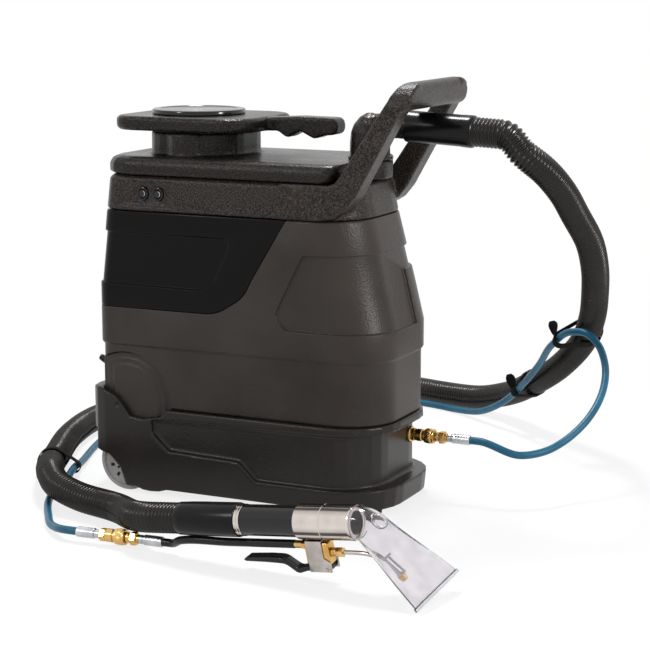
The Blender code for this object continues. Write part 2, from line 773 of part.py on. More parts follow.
def make_wheels():
    axle = barrel([
        (-BASE_HALF + 0.0048, AXLE_RADIUS), (-WELL_INNER - 0.0035, AXLE_RADIUS),
        (-WELL_INNER - 0.0035, AXLE_RADIUS + 0.003), (-WELL_INNER - CLEARANCE, AXLE_RADIUS + 0.003),
        (-WELL_INNER - CLEARANCE, AXLE_RADIUS), (WELL_INNER + CLEARANCE, AXLE_RADIUS),
        (WELL_INNER + CLEARANCE, AXLE_RADIUS + 0.003), (WELL_INNER + 0.0035, AXLE_RADIUS + 0.003),
        (WELL_INNER + 0.0035, AXLE_RADIUS), (BASE_HALF - 0.0048, AXLE_RADIUS),
    ], (WHEEL_X, 0, WHEEL_RADIUS), (0, 1, 0), steps=12)
    make_part(axle, "axle", zinc())
    inner = WELL_INNER + 0.0035 + RUNNING_GAP
    bore = AXLE_RADIUS + CLEARANCE
    for side, name in ((-1, "wheel_near"), (1, "wheel_far")):
        rim = WHEEL_RADIUS - 0.008
        wheel = turned([
            (WHEEL_RADIUS - 0.003, WHEEL_WIDTH), (WHEEL_RADIUS, WHEEL_WIDTH - 0.003),
            (WHEEL_RADIUS, 0.003), (WHEEL_RADIUS - 0.003, 0.0), (bore, 0.0),
            (bore, WHEEL_WIDTH - 0.001), (0.012, WHEEL_WIDTH - 0.001), (0.015, WHEEL_WIDTH - 0.006),
            (rim - 0.003, WHEEL_WIDTH - 0.006), (rim, WHEEL_WIDTH),
        ], 16, (WHEEL_X, side * inner, WHEEL_RADIUS), (0, side, 0))
        make_part(wheel, name, pale_plastic())


# ---------------------------------------------------------------- hood and vacuum motor

def make_hood():
    left = BODY_LEFT + HOOD_FACE_INSET
    half = HOOD_WIDTH / 2
    hood = side_plate(hood_outline(HOOD_RADIUS, left, HOOD_FLOOR), -half, half)
    for step in (1, 2):
        raised = side_plate(hood_outline(HOOD_RADIUS - step * HOOD_STEP, left + step * HOOD_STEP,
                                         HOOD_FLOOR),
                            -half - step * HOOD_STEP_OUT, half + step * HOOD_STEP_OUT)
        join(hood, raised)
    hollow = side_plate(hood_outline(HOOD_RADIUS - HOOD_WALL, left + 0.004, HOOD_FLOOR - 0.02),
                        0.0065 - half, half - 0.0065)
    duct_x = BODY_LEFT + PIPE_X
    air_hole = barrel([(HOOD_Z, DUCT_BORE), (HOOD_Z + 0.1, DUCT_BORE)], (duct_x, 0, 0), (0, 0, 1))
    gland_hole = barrel([(0, 0.0083), (0.03, 0.0083)], (left + 0.012, -0.088, GLAND_Z), (-1, 0, 0))
    cut(hood, hollow, air_hole, gland_hole)
    make_part(hood, "motor_hood", moulded_black())


def make_vacuum_motor():
    centre_x = HOOD_X + HOOD_RADIUS - HOOD_WALL - 3 * CLEARANCE - MOTOR_CASE_RADIUS
    case_foot = 0.030
    case_top = case_foot + FAN_WIDTH + 0.012
    eye = 0.020
    wall = 0.002
    shaft_top = case_top - wall - 0.002
    can_foot = -0.070
    fan_foot = case_foot + wall + 0.004
    motor = turned([
        (eye, case_top), (MOTOR_CASE_RADIUS, case_top), (MOTOR_CASE_RADIUS, case_foot),
        (MOTOR_CAN_RADIUS, case_foot), (MOTOR_CAN_RADIUS, can_foot + 0.012),
        (0.026, can_foot), (0.0005, can_foot), (0.0005, can_foot + 0.003),
        (0.001, shaft_top), (MOTOR_SHAFT_RADIUS, shaft_top),
        (MOTOR_SHAFT_RADIUS, fan_foot - CLEARANCE), (0.007, fan_foot - CLEARANCE),
        (0.007, case_foot + wall), (MOTOR_CASE_RADIUS - wall, case_foot + wall),
        (MOTOR_CASE_RADIUS - wall, case_top - wall), (eye, case_top - wall),
    ], 12, (centre_x, 0, HOOD_Z), (0, 1, 0))
    make_part(motor, "vacuum_motor", motor_steel())
    bore = MOTOR_SHAFT_RADIUS + CLEARANCE
    fan = turned([
        (0.009, fan_foot + FAN_WIDTH - 0.002), (0.018, fan_foot + 0.003),
        (FAN_RADIUS, fan_foot + 0.006), (FAN_RADIUS, fan_foot), (bore, fan_foot),
        (bore, fan_foot + FAN_WIDTH - 0.002),
    ], 12, (centre_x, 0, HOOD_Z), (0, 1, 0))
    make_part(fan, "vacuum_fan", motor_steel())


def make_cord_gland():
    face = BODY_LEFT + HOOD_FACE_INSET
    at = (face, -0.088, GLAND_Z)
    gland = barrel([(-0.012, 0.0080), (CLEARANCE, 0.0080), (CLEARANCE, 0.0098), (0.004, 0.0090)],
                   at, (-1, 0, 0))
    rise = math.radians(20)
    boot = barrel([(0.0030, 0.0076), (0.006, 0.0073), (0.014, 0.0064), (0.022, 0.0050)],
                  at, (-math.cos(rise), 0, math.sin(rise)))
    join(gland, boot)
    make_part(gland, "cord_gland", rubber_black())


# ---------------------------------------------------------------- solution tank and front panel

def make_solution_tank():
    belt = BODY_BOTTOM + BELT_RISE
    soft = 0.003
    low = [(BODY_BOTTOM, BELT_STEP + soft), (BODY_BOTTOM + soft, BELT_STEP), (belt, BELT_STEP),
           (belt + BELT_STEP, 0.0), (BODY_BOTTOM + END_TAPER_RISE, 0.0),
           (BODY_BOTTOM + SIDE_TAPER_RISE, 0.0), (BODY_TOP - soft, 0.0), (BODY_TOP, soft)]
    tank = loft([shell_ring(z, inset) for z, inset in low])
    panel_gap = CLEARANCE
    panel_recess = side_plate(front_seam(panel_gap), -FAR, FAR)
    cut(panel_recess, shell_loft(FRONT_PANEL_THICKNESS + panel_gap,
                                 BODY_TOP - FRONT_PANEL_HEIGHT - 0.05, BODY_TOP + 0.05))
    recess = side_plate(rounded([
        (BODY_LEFT + 0.364, BODY_TOP - 0.0517, 0.006),
        (BODY_LEFT + 0.317, BODY_TOP - 0.1457, 0.006),
        (BODY_LEFT + 0.333, BODY_TOP - 0.1687, 0.010),
        (BODY_RIGHT + FAR, BODY_TOP - 0.1687, 0),
        (BODY_RIGHT + FAR, BODY_TOP - 0.0517, 0),
    ]), -FAR, FAR)
    kept_pad = box(BODY_RIGHT - 0.085, BODY_RIGHT + FAR, 0.030, FAR, BODY_TOP - 0.19, BODY_TOP - 0.085)
    cut(recess, shell_loft(RECESS_DEPTH, BODY_TOP - 0.2, BODY_TOP), kept_pad)
    cavity = shell_loft(BODY_WALL, BODY_BOTTOM + TANK_FLOOR, BODY_TOP + 0.02)
    cut(cavity, hood_cylinder(HOOD_RADIUS + CLEARANCE + 0.005))
    duct_hole = barrel([(HOOD_Z, DUCT_BORE), (HOOD_Z + 0.1, DUCT_BORE)],
                       (BODY_LEFT + PIPE_X, 0, 0), (0, 0, 1))
    outlet = barrel([(0, 0.0035), (0.05, 0.0035)],
                    (BODY_LEFT + STRAINER_X, 0, BODY_BOTTOM - 0.02), (0, 0, 1), steps=8)
    cut(tank, panel_recess, recess, hood_cylinder(HOOD_RADIUS + CLEARANCE), cavity, duct_hole, outlet)
    make_part(tank, "solution_tank", moulded_black())


def make_front_panel():
    bottom = BODY_TOP - FRONT_PANEL_HEIGHT
    panel = shell_loft(0.0, bottom - 0.004, BODY_TOP)
    seam = side_plate(front_seam(0.0), -FAR, FAR)
    lowest = BODY_TOP - 0.1127
    highest = BODY_TOP - 0.0337
    dish = side_plate(rounded([
        (BODY_LEFT - FAR, highest, 0), (BODY_LEFT + 0.244, highest, 0.006),
        (BODY_LEFT + 0.213, highest - 0.069, 0.008), (BODY_LEFT + 0.184, lowest - 0.004, 0.01),
        (BODY_LEFT - FAR, lowest, 0),
    ]), -FAR, FAR)
    cut(dish, shell_loft(FRONT_RECESS_DEPTH, bottom - 0.05, BODY_TOP + 0.05))
    inside = shell_loft(FRONT_PANEL_THICKNESS, bottom - 0.05, BODY_TOP + 0.05)
    keep_within(panel, seam)
    cut(panel, inside, dish)
    make_part(panel, "front_panel", gloss_black())


# ---------------------------------------------------------------- handle frame and switches

def switch_face():
    return -half_width(BAND_BOTTOM + SWITCH_RISE) + SWITCH_RECESS_DEPTH


def make_handle_frame():
    soft = 0.006
    band = loft([shell_ring(z, inset) for z, inset in (
        (BAND_BOTTOM, 0.002), (BAND_BOTTOM + 0.003, 0.0), (BAND_TOP - soft, 0.0), (BAND_TOP, soft))])
    foot = BODY_LEFT + 0.325
    top = BAND_TOP + HANDLE_RISE
    arm_outline = rounded([
        (foot, BAND_BOTTOM + 0.0005, 0),
        (BODY_LEFT + 0.4275, BAND_BOTTOM + 0.0005, 0.07),
        (BODY_LEFT + 0.545, top, 0.025),
        (BODY_LEFT + 0.518, top, 0.020),
        (BODY_LEFT + 0.414, BAND_TOP - 0.0004, 0.020),
        (foot, BAND_TOP - 0.0004, 0),
    ])
    for side in (-1, 1):
        low, high = sorted((side * ARM_INNER, side * ARM_OUTER))
        join(band, round_edges(side_plate(arm_outline, low, high), ARM_EDGE, segments=1))
    bar = side_plate(rounded([
        (BODY_LEFT + 0.491, top - 0.040, 0.012), (BODY_LEFT + 0.531, top - 0.044, 0.014),
        (BODY_LEFT + 0.541, top - 0.0006, 0.020), (BODY_LEFT + 0.513, top - 0.0006, 0.018),
    ]), 0.004 - ARM_OUTER, ARM_OUTER - 0.004)
    join(band, bar)
    corner_foot = top - 1.4 * HANDLE_CORNER
    corners = box(BODY_LEFT + 0.42, BODY_RIGHT + FAR, -FAR, FAR, corner_foot, top + 0.02)
    outline = rounded([(ARM_OUTER + 0.001, corner_foot - 0.02, 0), (ARM_OUTER + 0.001, top, HANDLE_CORNER),
                       (-ARM_OUTER - 0.001, top, HANDLE_CORNER), (-ARM_OUTER - 0.001, corner_foot - 0.02, 0)])
    cut(corners, loft([[Vector((x, y, z)) for y, z in outline]
                       for x in (BODY_LEFT + 0.40, BODY_RIGHT + 2 * FAR)]))
    cut(band, corners)
    well_left = BODY_LEFT + WELL_INSET_LEFT
    well_right = BODY_RIGHT - WELL_INSET_RIGHT
    well = loft([plan_ring(well_left, well_right, WELL_HALF, z, 0.03, 0.02, right_steps=4)
                 for z in (BAND_BOTTOM - 0.02, BAND_TOP + CLEARANCE / 2)])
    face = switch_face()
    centre = BAND_BOTTOM + SWITCH_RISE
    recess = box(BODY_LEFT + 0.045, BODY_LEFT + 0.140, -FAR, face, centre - 0.020, centre + 0.018)
    cut(band, well, recess)
    for x in SWITCH_XS:
        hole = barrel([(-0.03, BEZEL_BARREL + CLEARANCE), (0.03, BEZEL_BARREL + CLEARANCE)],
                      (BODY_LEFT + x, face, centre), (0, 1, 0), steps=16)
        cut(band, hole)
    make_part(band, "handle_frame", moulded_black())


def make_switches():
    face = switch_face()
    centre = BAND_BOTTOM + SWITCH_RISE
    for index, x in enumerate(SWITCH_XS, 1):
        at = (BODY_LEFT + x, face - CLEARANCE, centre)
        bezel = barrel([(-0.009, BEZEL_BARREL), (0.0, BEZEL_BARREL), (0.0, BEZEL_RADIUS),
                        (BEZEL_PROUD - 0.0008, BEZEL_RADIUS), (BEZEL_PROUD, BEZEL_RADIUS - 0.001)],
                       at, (0, -1, 0), bore=BEZEL_BORE, steps=16)
        make_part(bezel, f"switch_bezel_{index}", gloss_black())
        rocker = barrel([(-ROCKER_HALF, ROCKER_RADIUS), (ROCKER_HALF, ROCKER_RADIUS)],
                        (at[0], at[1] - 0.0006, at[2]), (0, -1, 0), steps=16)
        make_part(rocker, f"switch_rocker_{index}", gloss_black())


# ---------------------------------------------------------------- recovery tank and lid

def neck_ring(z, inset):
    left = BODY_LEFT + NECK_LEFT
    return plan_ring(left + inset, left + NECK_LENGTH - inset, NECK_WIDTH / 2 - inset, z,
                     0.050 - min(inset, 0.03), 0.060 - min(inset, 0.03), 5, 5)


def bucket_ring(z, inset):
    left = BODY_LEFT + WELL_INSET_LEFT + BUCKET_CLEARANCE + inset
    right = BODY_RIGHT - WELL_INSET_RIGHT - BUCKET_CLEARANCE - inset
    half = WELL_HALF - BUCKET_CLEARANCE - inset
    draft = 0.02 * (DECK_BOTTOM - z)
    return plan_ring(left + draft, right - draft, half - draft, z, 0.028, 0.018, right_steps=4)


def make_recovery_tank():
    left = BODY_LEFT + 0.011
    half = DECK_WIDTH / 2
    levels = [(DECK_BOTTOM, 0.004, 0.4035), (DECK_BOTTOM + 0.0037, 0.0, 0.407),
              (DECK_TOP - 0.012, 0.0, 0.4150), (DECK_TOP - 0.0035, 0.004, 0.4180),
              (DECK_TOP, 0.011, 0.4165)]
    deck = loft([plan_ring(left + inset, BODY_LEFT + right, half - inset, z, 0.045, 0.020, right_steps=4)
                 for z, inset, right in levels])
    bucket_bottom = DECK_BOTTOM - BUCKET_DEPTH
    bucket = loft([bucket_ring(bucket_bottom, 0.0), bucket_ring(DECK_BOTTOM + 0.002, 0.0)])
    inlet_x = BODY_LEFT + INLET_X
    tongue = loft([plan_ring(inlet_x - 0.08, inlet_x + TONGUE_REACH, TONGUE_WIDTH / 2, z, 0.01, 0.030)
                   for z in (DECK_BOTTOM + 0.0005, DECK_TOP - 0.0003)])
    neck = loft([neck_ring(DECK_TOP - 0.004, -0.004), neck_ring(DECK_TOP + 0.004, 0.0),
                 neck_ring(NECK_TOP, 0.0)])
    column = barrel([(DECK_TOP - 0.004, COLUMN_RADIUS + 0.003), (DECK_TOP + 0.003, COLUMN_RADIUS),
                     (NECK_TOP, COLUMN_RADIUS)], (BODY_LEFT + COLUMN_X, -COLUMN_Y, 0), (0, 0, 1), steps=16)
    join(deck, bucket, tongue, neck, column)
    hollow = loft([bucket_ring(bucket_bottom + BUCKET_WALL, BUCKET_WALL),
                   bucket_ring(DECK_BOTTOM + BUCKET_WALL, BUCKET_WALL)])
    head_room = loft([plan_ring(left + 0.010, BODY_LEFT + 0.396, half - 0.010, z, 0.036, 0.014,
                                right_steps=4)
                      for z in (DECK_BOTTOM + BUCKET_WALL - 0.0005, DECK_TOP - BUCKET_WALL)])
    channel = box(inlet_x - 0.07, inlet_x + TONGUE_REACH - 0.010, -0.026, 0.026,
                  DECK_BOTTOM + 0.005, DECK_TOP - BUCKET_WALL - 0.0005)
    mouth = loft([neck_ring(DECK_TOP - 0.010, NECK_WALL), neck_ring(NECK_TOP + 0.01, NECK_WALL)])
    inlet = barrel([(DECK_TOP - 0.012, INLET_BORE), (DECK_TOP + 0.01, INLET_BORE)],
                   (inlet_x, 0, 0), (0, 0, 1), steps=16)
    pipe_hole = barrel([(bucket_bottom - 0.01, PIPE_RADIUS + CLEARANCE),
                        (bucket_bottom + 0.01, PIPE_RADIUS + CLEARANCE)],
                       (BODY_LEFT + PIPE_X, 0, 0), (0, 0, 1), steps=12)
    cut(deck, hollow, head_room, channel, mouth, inlet, pipe_hole)
    make_part(deck, "recovery_tank", moulded_black())


def make_standpipe():
    floor = DECK_BOTTOM - BUCKET_DEPTH + BUCKET_WALL
    at = (BODY_LEFT + PIPE_X, 0, 0)
    rest = floor + 0.050
    stop = rest + FLOAT_HEIGHT + FLOAT_TRAVEL + 2 * RUNNING_GAP
    pipe = barrel([
        (floor - BUCKET_WALL + CLEARANCE, PIPE_RADIUS), (floor + CLEARANCE, PIPE_RADIUS),
        (floor + CLEARANCE, PIPE_RADIUS + 0.004), (rest, PIPE_RADIUS + 0.004),
        (rest, PIPE_RADIUS), (stop, PIPE_RADIUS), (stop, PIPE_RADIUS + 0.004),
        (stop + 0.008, PIPE_RADIUS + 0.004),
    ], at, (0, 0, 1), bore=PIPE_BORE, steps=12)
    make_part(pipe, "standpipe", pale_plastic())
    low = rest + RUNNING_GAP
    ring = barrel([(low, FLOAT_RADIUS - 0.003), (low + 0.003, FLOAT_RADIUS),
                   (low + FLOAT_HEIGHT - 0.003, FLOAT_RADIUS), (low + FLOAT_HEIGHT, FLOAT_RADIUS - 0.003)],
                  at, (0, 0, 1), bore=PIPE_RADIUS + RUNNING_GAP, steps=12)
    make_part(ring, "float_ring", pale_plastic())
    duct = barrel([(HOOD_Z + 0.04, DUCT_RADIUS), (DECK_BOTTOM - BUCKET_DEPTH - CLEARANCE, DUCT_RADIUS)],
                  at, (0, 0, 1), bore=DUCT_BORE, steps=12)
    cut(duct, hood_cylinder(HOOD_RADIUS + 2 * CLEARANCE + 0.005))
    make_part(duct, "air_duct", rubber_black())


def make_lid():
    left = BODY_LEFT + LID_LEFT
    right = left + LID_LENGTH
    plate_body = loft([plan_ring(left + inset, right - inset, LID_WIDTH / 2 - inset, z, 0.035, 0.050, 5, 5)
                       for z, inset in ((LID_BOTTOM, 0.004), (LID_BOTTOM + 0.005, 0.0),
                                        (LID_TOP - 0.004, 0.0), (LID_TOP, 0.004))])
    end = right + 0.118
    grip = side_plate(rounded([
        (right - 0.030, LID_BOTTOM + 0.001, 0), (right + 0.004, LID_BOTTOM + 0.0005, 0),
        (right + 0.016, LID_BOTTOM + 0.001, 0.01), (right + 0.032, LID_BOTTOM - 0.0098, 0.008),
        (right + 0.052, LID_BOTTOM + 0.001, 0.008), (right + 0.056, LID_BOTTOM + 0.001, 0.008),
        (right + 0.078, LID_BOTTOM - 0.0098, 0.008), (right + 0.094, LID_BOTTOM - 0.004, 0.01),
        (end, LID_BOTTOM - 0.002, 0.010), (end, LID_TOP + 0.001, 0.011),
        (right + 0.050, LID_TOP + 0.0015, 0.05), (right, LID_TOP - 0.0012, 0.02),
        (right - 0.030, LID_TOP - 0.0012, 0),
    ]), -GRIP_WIDTH / 2, GRIP_WIDTH / 2)
    join(plate_body, round_edges(grip, 0.006))
    mouth = barrel([(LID_BOTTOM - 0.01, CAP_HUB_RADIUS + CLEARANCE), (LID_TOP + 0.01, CAP_HUB_RADIUS + CLEARANCE)],
                   (BODY_LEFT + CAP_X, 0, 0), (0, 0, 1), steps=24)
    cut(plate_body, mouth)
    make_part(plate_body, "tank_lid", moulded_black())
    top = GASKET_BOTTOM + GASKET_THICKNESS
    gasket = loft([neck_ring(GASKET_BOTTOM, 0.002), neck_ring(top, 0.002)])
    cut(gasket, loft([neck_ring(GASKET_BOTTOM - 0.01, 0.010), neck_ring(top + 0.01, 0.010)]))
    make_part(gasket, "lid_gasket", rubber_black())
    cap = turned([
        (0.0, CAP_BOTTOM + CAP_THICKNESS - 0.001), (CAP_RADIUS - 0.012, CAP_BOTTOM + CAP_THICKNESS - 0.001),
        (CAP_RADIUS - 0.010, CAP_BOTTOM + CAP_THICKNESS), (CAP_RADIUS - 0.0015, CAP_BOTTOM + CAP_THICKNESS),
        (CAP_RADIUS, CAP_BOTTOM + CAP_THICKNESS - 0.0015), (CAP_RADIUS, CAP_BOTTOM),
        (CAP_HUB_RADIUS, CAP_BOTTOM), (CAP_HUB_RADIUS, CAP_BOTTOM - CAP_HUB_DEPTH),
        (CAP_HUB_RADIUS - 0.003, CAP_BOTTOM - CAP_HUB_DEPTH), (CAP_HUB_RADIUS - 0.003, CAP_BOTTOM + 0.003),
        (0.0, CAP_BOTTOM + 0.003),
    ], 24, (BODY_LEFT + CAP_X, 0, 0), (0, 0, 1))
    make_part(cap, "lid_cap", gloss_black())


def spigot_direction():
    return Vector((math.cos(SPIGOT_DROOP), 0, -math.sin(SPIGOT_DROOP)))


def spigot_mouth():
    return Vector((BODY_LEFT + INLET_X + SPIGOT_REACH, 0, DECK_TOP + SPIGOT_AXIS_RISE))


def make_inlet_elbow():
    at = (BODY_LEFT + INLET_X, 0, 0)
    foot = DECK_TOP + CLEARANCE
    top = DECK_TOP + INLET_RISE
    crown = [(top - 0.045, INLET_RADIUS), (top - 0.029, INLET_RADIUS * 0.94), (top - 0.017, INLET_RADIUS * 0.80),
             (top - 0.006, INLET_RADIUS * 0.50), (top, INLET_RADIUS * 0.16)]
    dome = barrel([(foot, INLET_RADIUS + 0.003), (foot + 0.005, INLET_RADIUS + 0.003),
                   (foot + 0.005, INLET_RADIUS)] + crown, at, (0, 0, 1), steps=16)
    back = SPIGOT_REACH - 0.004
    spigot = barrel([(-back, 0.0140), (-0.036, 0.0165), (-0.022, SPIGOT_RADIUS), (0, SPIGOT_RADIUS)], spigot_mouth(), spigot_direction(), steps=16)
    shaft = barrel([(foot - 0.01, INLET_BORE), (top - 0.030, INLET_BORE)], at, (0, 0, 1), steps=16)
    bore = barrel([(-SPIGOT_REACH, 0.0110), (-0.036, 0.0130), (-0.022, INLET_BORE), (0.01, INLET_BORE)],
                  spigot_mouth(), spigot_direction(), steps=16)
    join(dome, spigot)
    cut(dome, shaft, bore)
    make_part(dome, "inlet_elbow", gloss_black())


# ---------------------------------------------------------------- pump

def make_pump():
    floor = SKIRT_BOTTOM + PLATE_DROP
    x0 = BODY_LEFT + PUMP_X
    axis_z = floor + PUMP_HEIGHT / 2
    half = PUMP_WIDTH / 2
    body = round_edges(box(x0, x0 + PUMP_LENGTH, PUMP_Y - half, PUMP_Y + half, floor, floor + PUMP_HEIGHT), 0.003)
    chamber = barrel([(-0.01, ROTOR_RADIUS + RUNNING_GAP), (ROTOR_LENGTH + 0.002, ROTOR_RADIUS + RUNNING_GAP)],
                     (x0, PUMP_Y, axis_z), (1, 0, 0), steps=16)
    cut(body, chamber)
    make_part(body, "pump_body", moulded_black())
    motor_top = -CLEARANCE
    motor = barrel([(-PUMP_MOTOR_LENGTH, PUMP_MOTOR_RADIUS - 0.003), (0.003 - PUMP_MOTOR_LENGTH, PUMP_MOTOR_RADIUS),
                    (motor_top, PUMP_MOTOR_RADIUS), (motor_top, 0.003), (ROTOR_LENGTH, 0.003)],
                   (x0, PUMP_Y, axis_z), (1, 0, 0), steps=16)
    cradle = box(x0 - PUMP_MOTOR_LENGTH + 0.012, x0 - 0.012, PUMP_Y - 0.014, PUMP_Y + 0.014,
                 floor, axis_z - PUMP_MOTOR_RADIUS * 0.7)
    join(motor, cradle)
    make_part(motor, "pump_motor", motor_steel())
    rotor = barrel([(RUNNING_GAP, ROTOR_RADIUS), (ROTOR_LENGTH, ROTOR_RADIUS)],
                   (x0, PUMP_Y, axis_z), (1, 0, 0), bore=0.003 + CLEARANCE, steps=12)
    make_part(rotor, "pump_rotor", brass())

    strainer_x = BODY_LEFT + STRAINER_X
    inside = BODY_BOTTOM + TANK_FLOOR + CLEARANCE
    strainer = barrel([(inside, 0.013), (inside + 0.003, 0.013), (inside + 0.003, 0.011),
                       (inside + 0.026, 0.011)], (strainer_x, 0, 0), (0, 0, 1), bore=0.004, steps=12)
    make_part(strainer, "strainer", brass())

    radius = INNER_HOSE_RADIUS
    top = floor + PUMP_HEIGHT
    pump_top = top + CLEARANCE
    inlet_x = x0 + 0.014
    pickup = with_straight_ends((strainer_x, 0, BODY_BOTTOM - CLEARANCE), (inlet_x, PUMP_Y, pump_top),
                                (0, 0, -1), (0, 0, -1), [((strainer_x + inlet_x) / 2, PUMP_Y / 2, top + 0.034)],
                                0.014, top)
    make_part(tube(plain_points(pickup, 8), radius), "pickup_hose", rubber_black())
    socket_tail = (coupler_face() - 0.026, COUPLER_Y, COUPLER_Z)
    delivery = with_straight_ends((x0 + 0.036, PUMP_Y, pump_top), socket_tail, (0, 0, 1), (1, 0, 0),
                                  [(x0 + 0.043, PUMP_Y + 0.006, COUPLER_Z - 0.004)], 0.010, top)
    make_part(tube(plain_points(delivery, 8), radius), "delivery_hose", rubber_black())


# ---------------------------------------------------------------- solution line couplers

def coupler_face():
    return BODY_RIGHT + 0.001 - WAIST_END_DEPTH + CLEARANCE


def make_coupler(prefix, parent, at, flanged):
    """Socket with its sliding sleeve, then the plug and the ferrule, along local +X."""
    body_top = FLANGE_THICKNESS + 0.018
    nose_top = body_top + SLEEVE_TRAVEL + SLEEVE_LENGTH + 0.002
    if flanged:
        sections = [(-0.0257, COUPLER_RADIUS - 0.001), (0.0, COUPLER_RADIUS - 0.001), (0.0, FLANGE_RADIUS),
                    (FLANGE_THICKNESS, FLANGE_RADIUS)]
    else:
        sections = [(0.0, NUT_RADIUS), (FLANGE_THICKNESS + 0.008, NUT_RADIUS)]
    sections += [(sections[-1][0], COUPLER_RADIUS), (body_top, COUPLER_RADIUS),
                 (body_top, NOSE_RADIUS), (nose_top, NOSE_RADIUS)]
    axis = (1, 0, 0)
    socket = barrel(sections, at, axis, bore=FLOW_BORE, steps=12, parent=parent)
    make_part(socket, f"{prefix}_socket", brass())
    low = body_top + SLEEVE_TRAVEL + CLEARANCE
    sleeve = barrel([(low, SLEEVE_RADIUS - 0.001), (low + 0.001, SLEEVE_RADIUS),
                     (low + SLEEVE_LENGTH - 0.001, SLEEVE_RADIUS), (low + SLEEVE_LENGTH, SLEEVE_RADIUS - 0.001)],
                    at, axis, bore=NOSE_RADIUS + CLEARANCE, steps=12, parent=parent)
    make_part(sleeve, f"{prefix}_sleeve", brass())
    foot = nose_top + CLEARANCE
    plug = barrel([(foot, 0.0078), (foot + 0.004, 0.0078), (foot + 0.004, 0.0092), (foot + 0.017, 0.0092),
                   (foot + 0.017, 0.0065), (foot + 0.020, 0.0065)],
                  at, axis, bore=FLOW_BORE, steps=10, parent=parent)
    nut = barrel([(foot + 0.007, NUT_RADIUS + 0.0005), (foot + 0.014, NUT_RADIUS + 0.0005)], at, axis,
                 bore=FLOW_BORE + 0.001, steps=6, parent=parent)
    join(plug, nut)
    make_part(plug, f"{prefix}_plug", brass())
    return foot + 0.020 + CLEARANCE


def make_ferrule(name, parent, at, foot):
    ferrule = barrel([
        (foot, FERRULE_RADIUS), (foot + FERRULE_LENGTH - 0.002, FERRULE_RADIUS),
        (foot + FERRULE_LENGTH, FERRULE_RADIUS - 0.001),
    ], at, (1, 0, 0), bore=FLOW_BORE, steps=12, parent=parent)
    make_part(ferrule, name, zinc())
    return foot + FERRULE_LENGTH


# ---------------------------------------------------------------- hoses

# Route of the vacuum hose from the machine's cuff to the tool's
VACUUM_ROUTE = (
    (0.3210, 0.0040, 0.5552), (0.3451, 0.0284, 0.5296), (0.3612, 0.0694, 0.4941),
    (0.3689, 0.1145, 0.4530), (0.3753, 0.1657, 0.4080), (0.3687, 0.2223, 0.3570),
    (0.3530, 0.2780, 0.3050), (0.3310, 0.3380, 0.2550), (0.2980, 0.3980, 0.2020),
    (0.2400, 0.4550, 0.1430), (0.1690, 0.5180, 0.0930), (0.0900, 0.5960, 0.0500),
    (0.0240, 0.6380, 0.0290), (-0.0710, 0.6710, 0.0228), (-0.1500, 0.6900, 0.0228),
    (-0.2500, 0.6880, 0.0228), (-0.3600, 0.6300, 0.0228), (-0.4550, 0.5250, 0.0228),
    (-0.5250, 0.3800, 0.0228), (-0.5565, 0.2070, 0.0228), (-0.5310, 0.0900, 0.0228),
    (-0.4672, -0.0598, 0.0240), (-0.4367, -0.1237, 0.0270), (-0.4069, -0.1717, 0.0340),
    (-0.3793, -0.2093, 0.0370), (-0.3371, -0.2520, 0.0350), (-0.2876, -0.2718, 0.0290),
    (-0.2236, -0.2874, 0.0265),
)

# Route of the solution hose from the machine's ferrule to the coupler by the tool
SOLUTION_ROUTE = (
    (0.3060, 0.0590, 0.0815), (0.3363, 0.0900, 0.0840), (0.3520, 0.1200, 0.0915),
    (0.3794, 0.1733, 0.1232), (0.3862, 0.2294, 0.1621), (0.3726, 0.2751, 0.1966),
    (0.3518, 0.3000, 0.2201), (0.3300, 0.3100, 0.2330), (0.3040, 0.3180, 0.2320),
    (0.2570, 0.3560, 0.2000), (0.2140, 0.4160, 0.1500), (0.1690, 0.4660, 0.1020),
    (0.1430, 0.4970, 0.0770), (0.0930, 0.5350, 0.0400), (0.0530, 0.5660, 0.0200),
    (-0.0250, 0.6170, 0.0063), (-0.1000, 0.6400, 0.0063), (-0.2000, 0.6500, 0.0063),
    (-0.3100, 0.6150, 0.0063), (-0.4100, 0.5100, 0.0063), (-0.4850, 0.3650, 0.0063),
    (-0.5150, 0.2100, 0.0063), (-0.4850, 0.0950, 0.0063), (-0.4330, -0.0400, 0.0110),
    (-0.4110, -0.0960, 0.0172), (-0.4010, -0.1330, 0.0098), (-0.3920, -0.1750, 0.0063), (-0.3660, -0.2370, 0.0063),
    (-0.3175, -0.3133, 0.0063), (-0.2760, -0.3650, 0.0090),
)

# Route of the tool's own hose from its coupler to the valve
TOOL_ROUTE = ((-0.0418, -0.3954, 0.0250), (0.0416, -0.4010, 0.0352))

# Places on the vacuum hose that the straps hold
STRAPS_AT = ((0.3120, 0.3750, 0.2240), (0.1690, 0.5180, 0.0930), (-0.4470, -0.1000, 0.0270))


def make_cuff():
    low = CLEARANCE
    cuff = barrel([(low, CUFF_RADIUS - 0.001), (low + 0.002, CUFF_RADIUS), (CUFF_LENGTH - 0.004, CUFF_RADIUS),
                   (CUFF_LENGTH, CUFF_RADIUS - 0.001)],
                  spigot_mouth(), spigot_direction(), bore=INLET_BORE, steps=16)
    make_part(cuff, "vacuum_cuff", rubber_black())


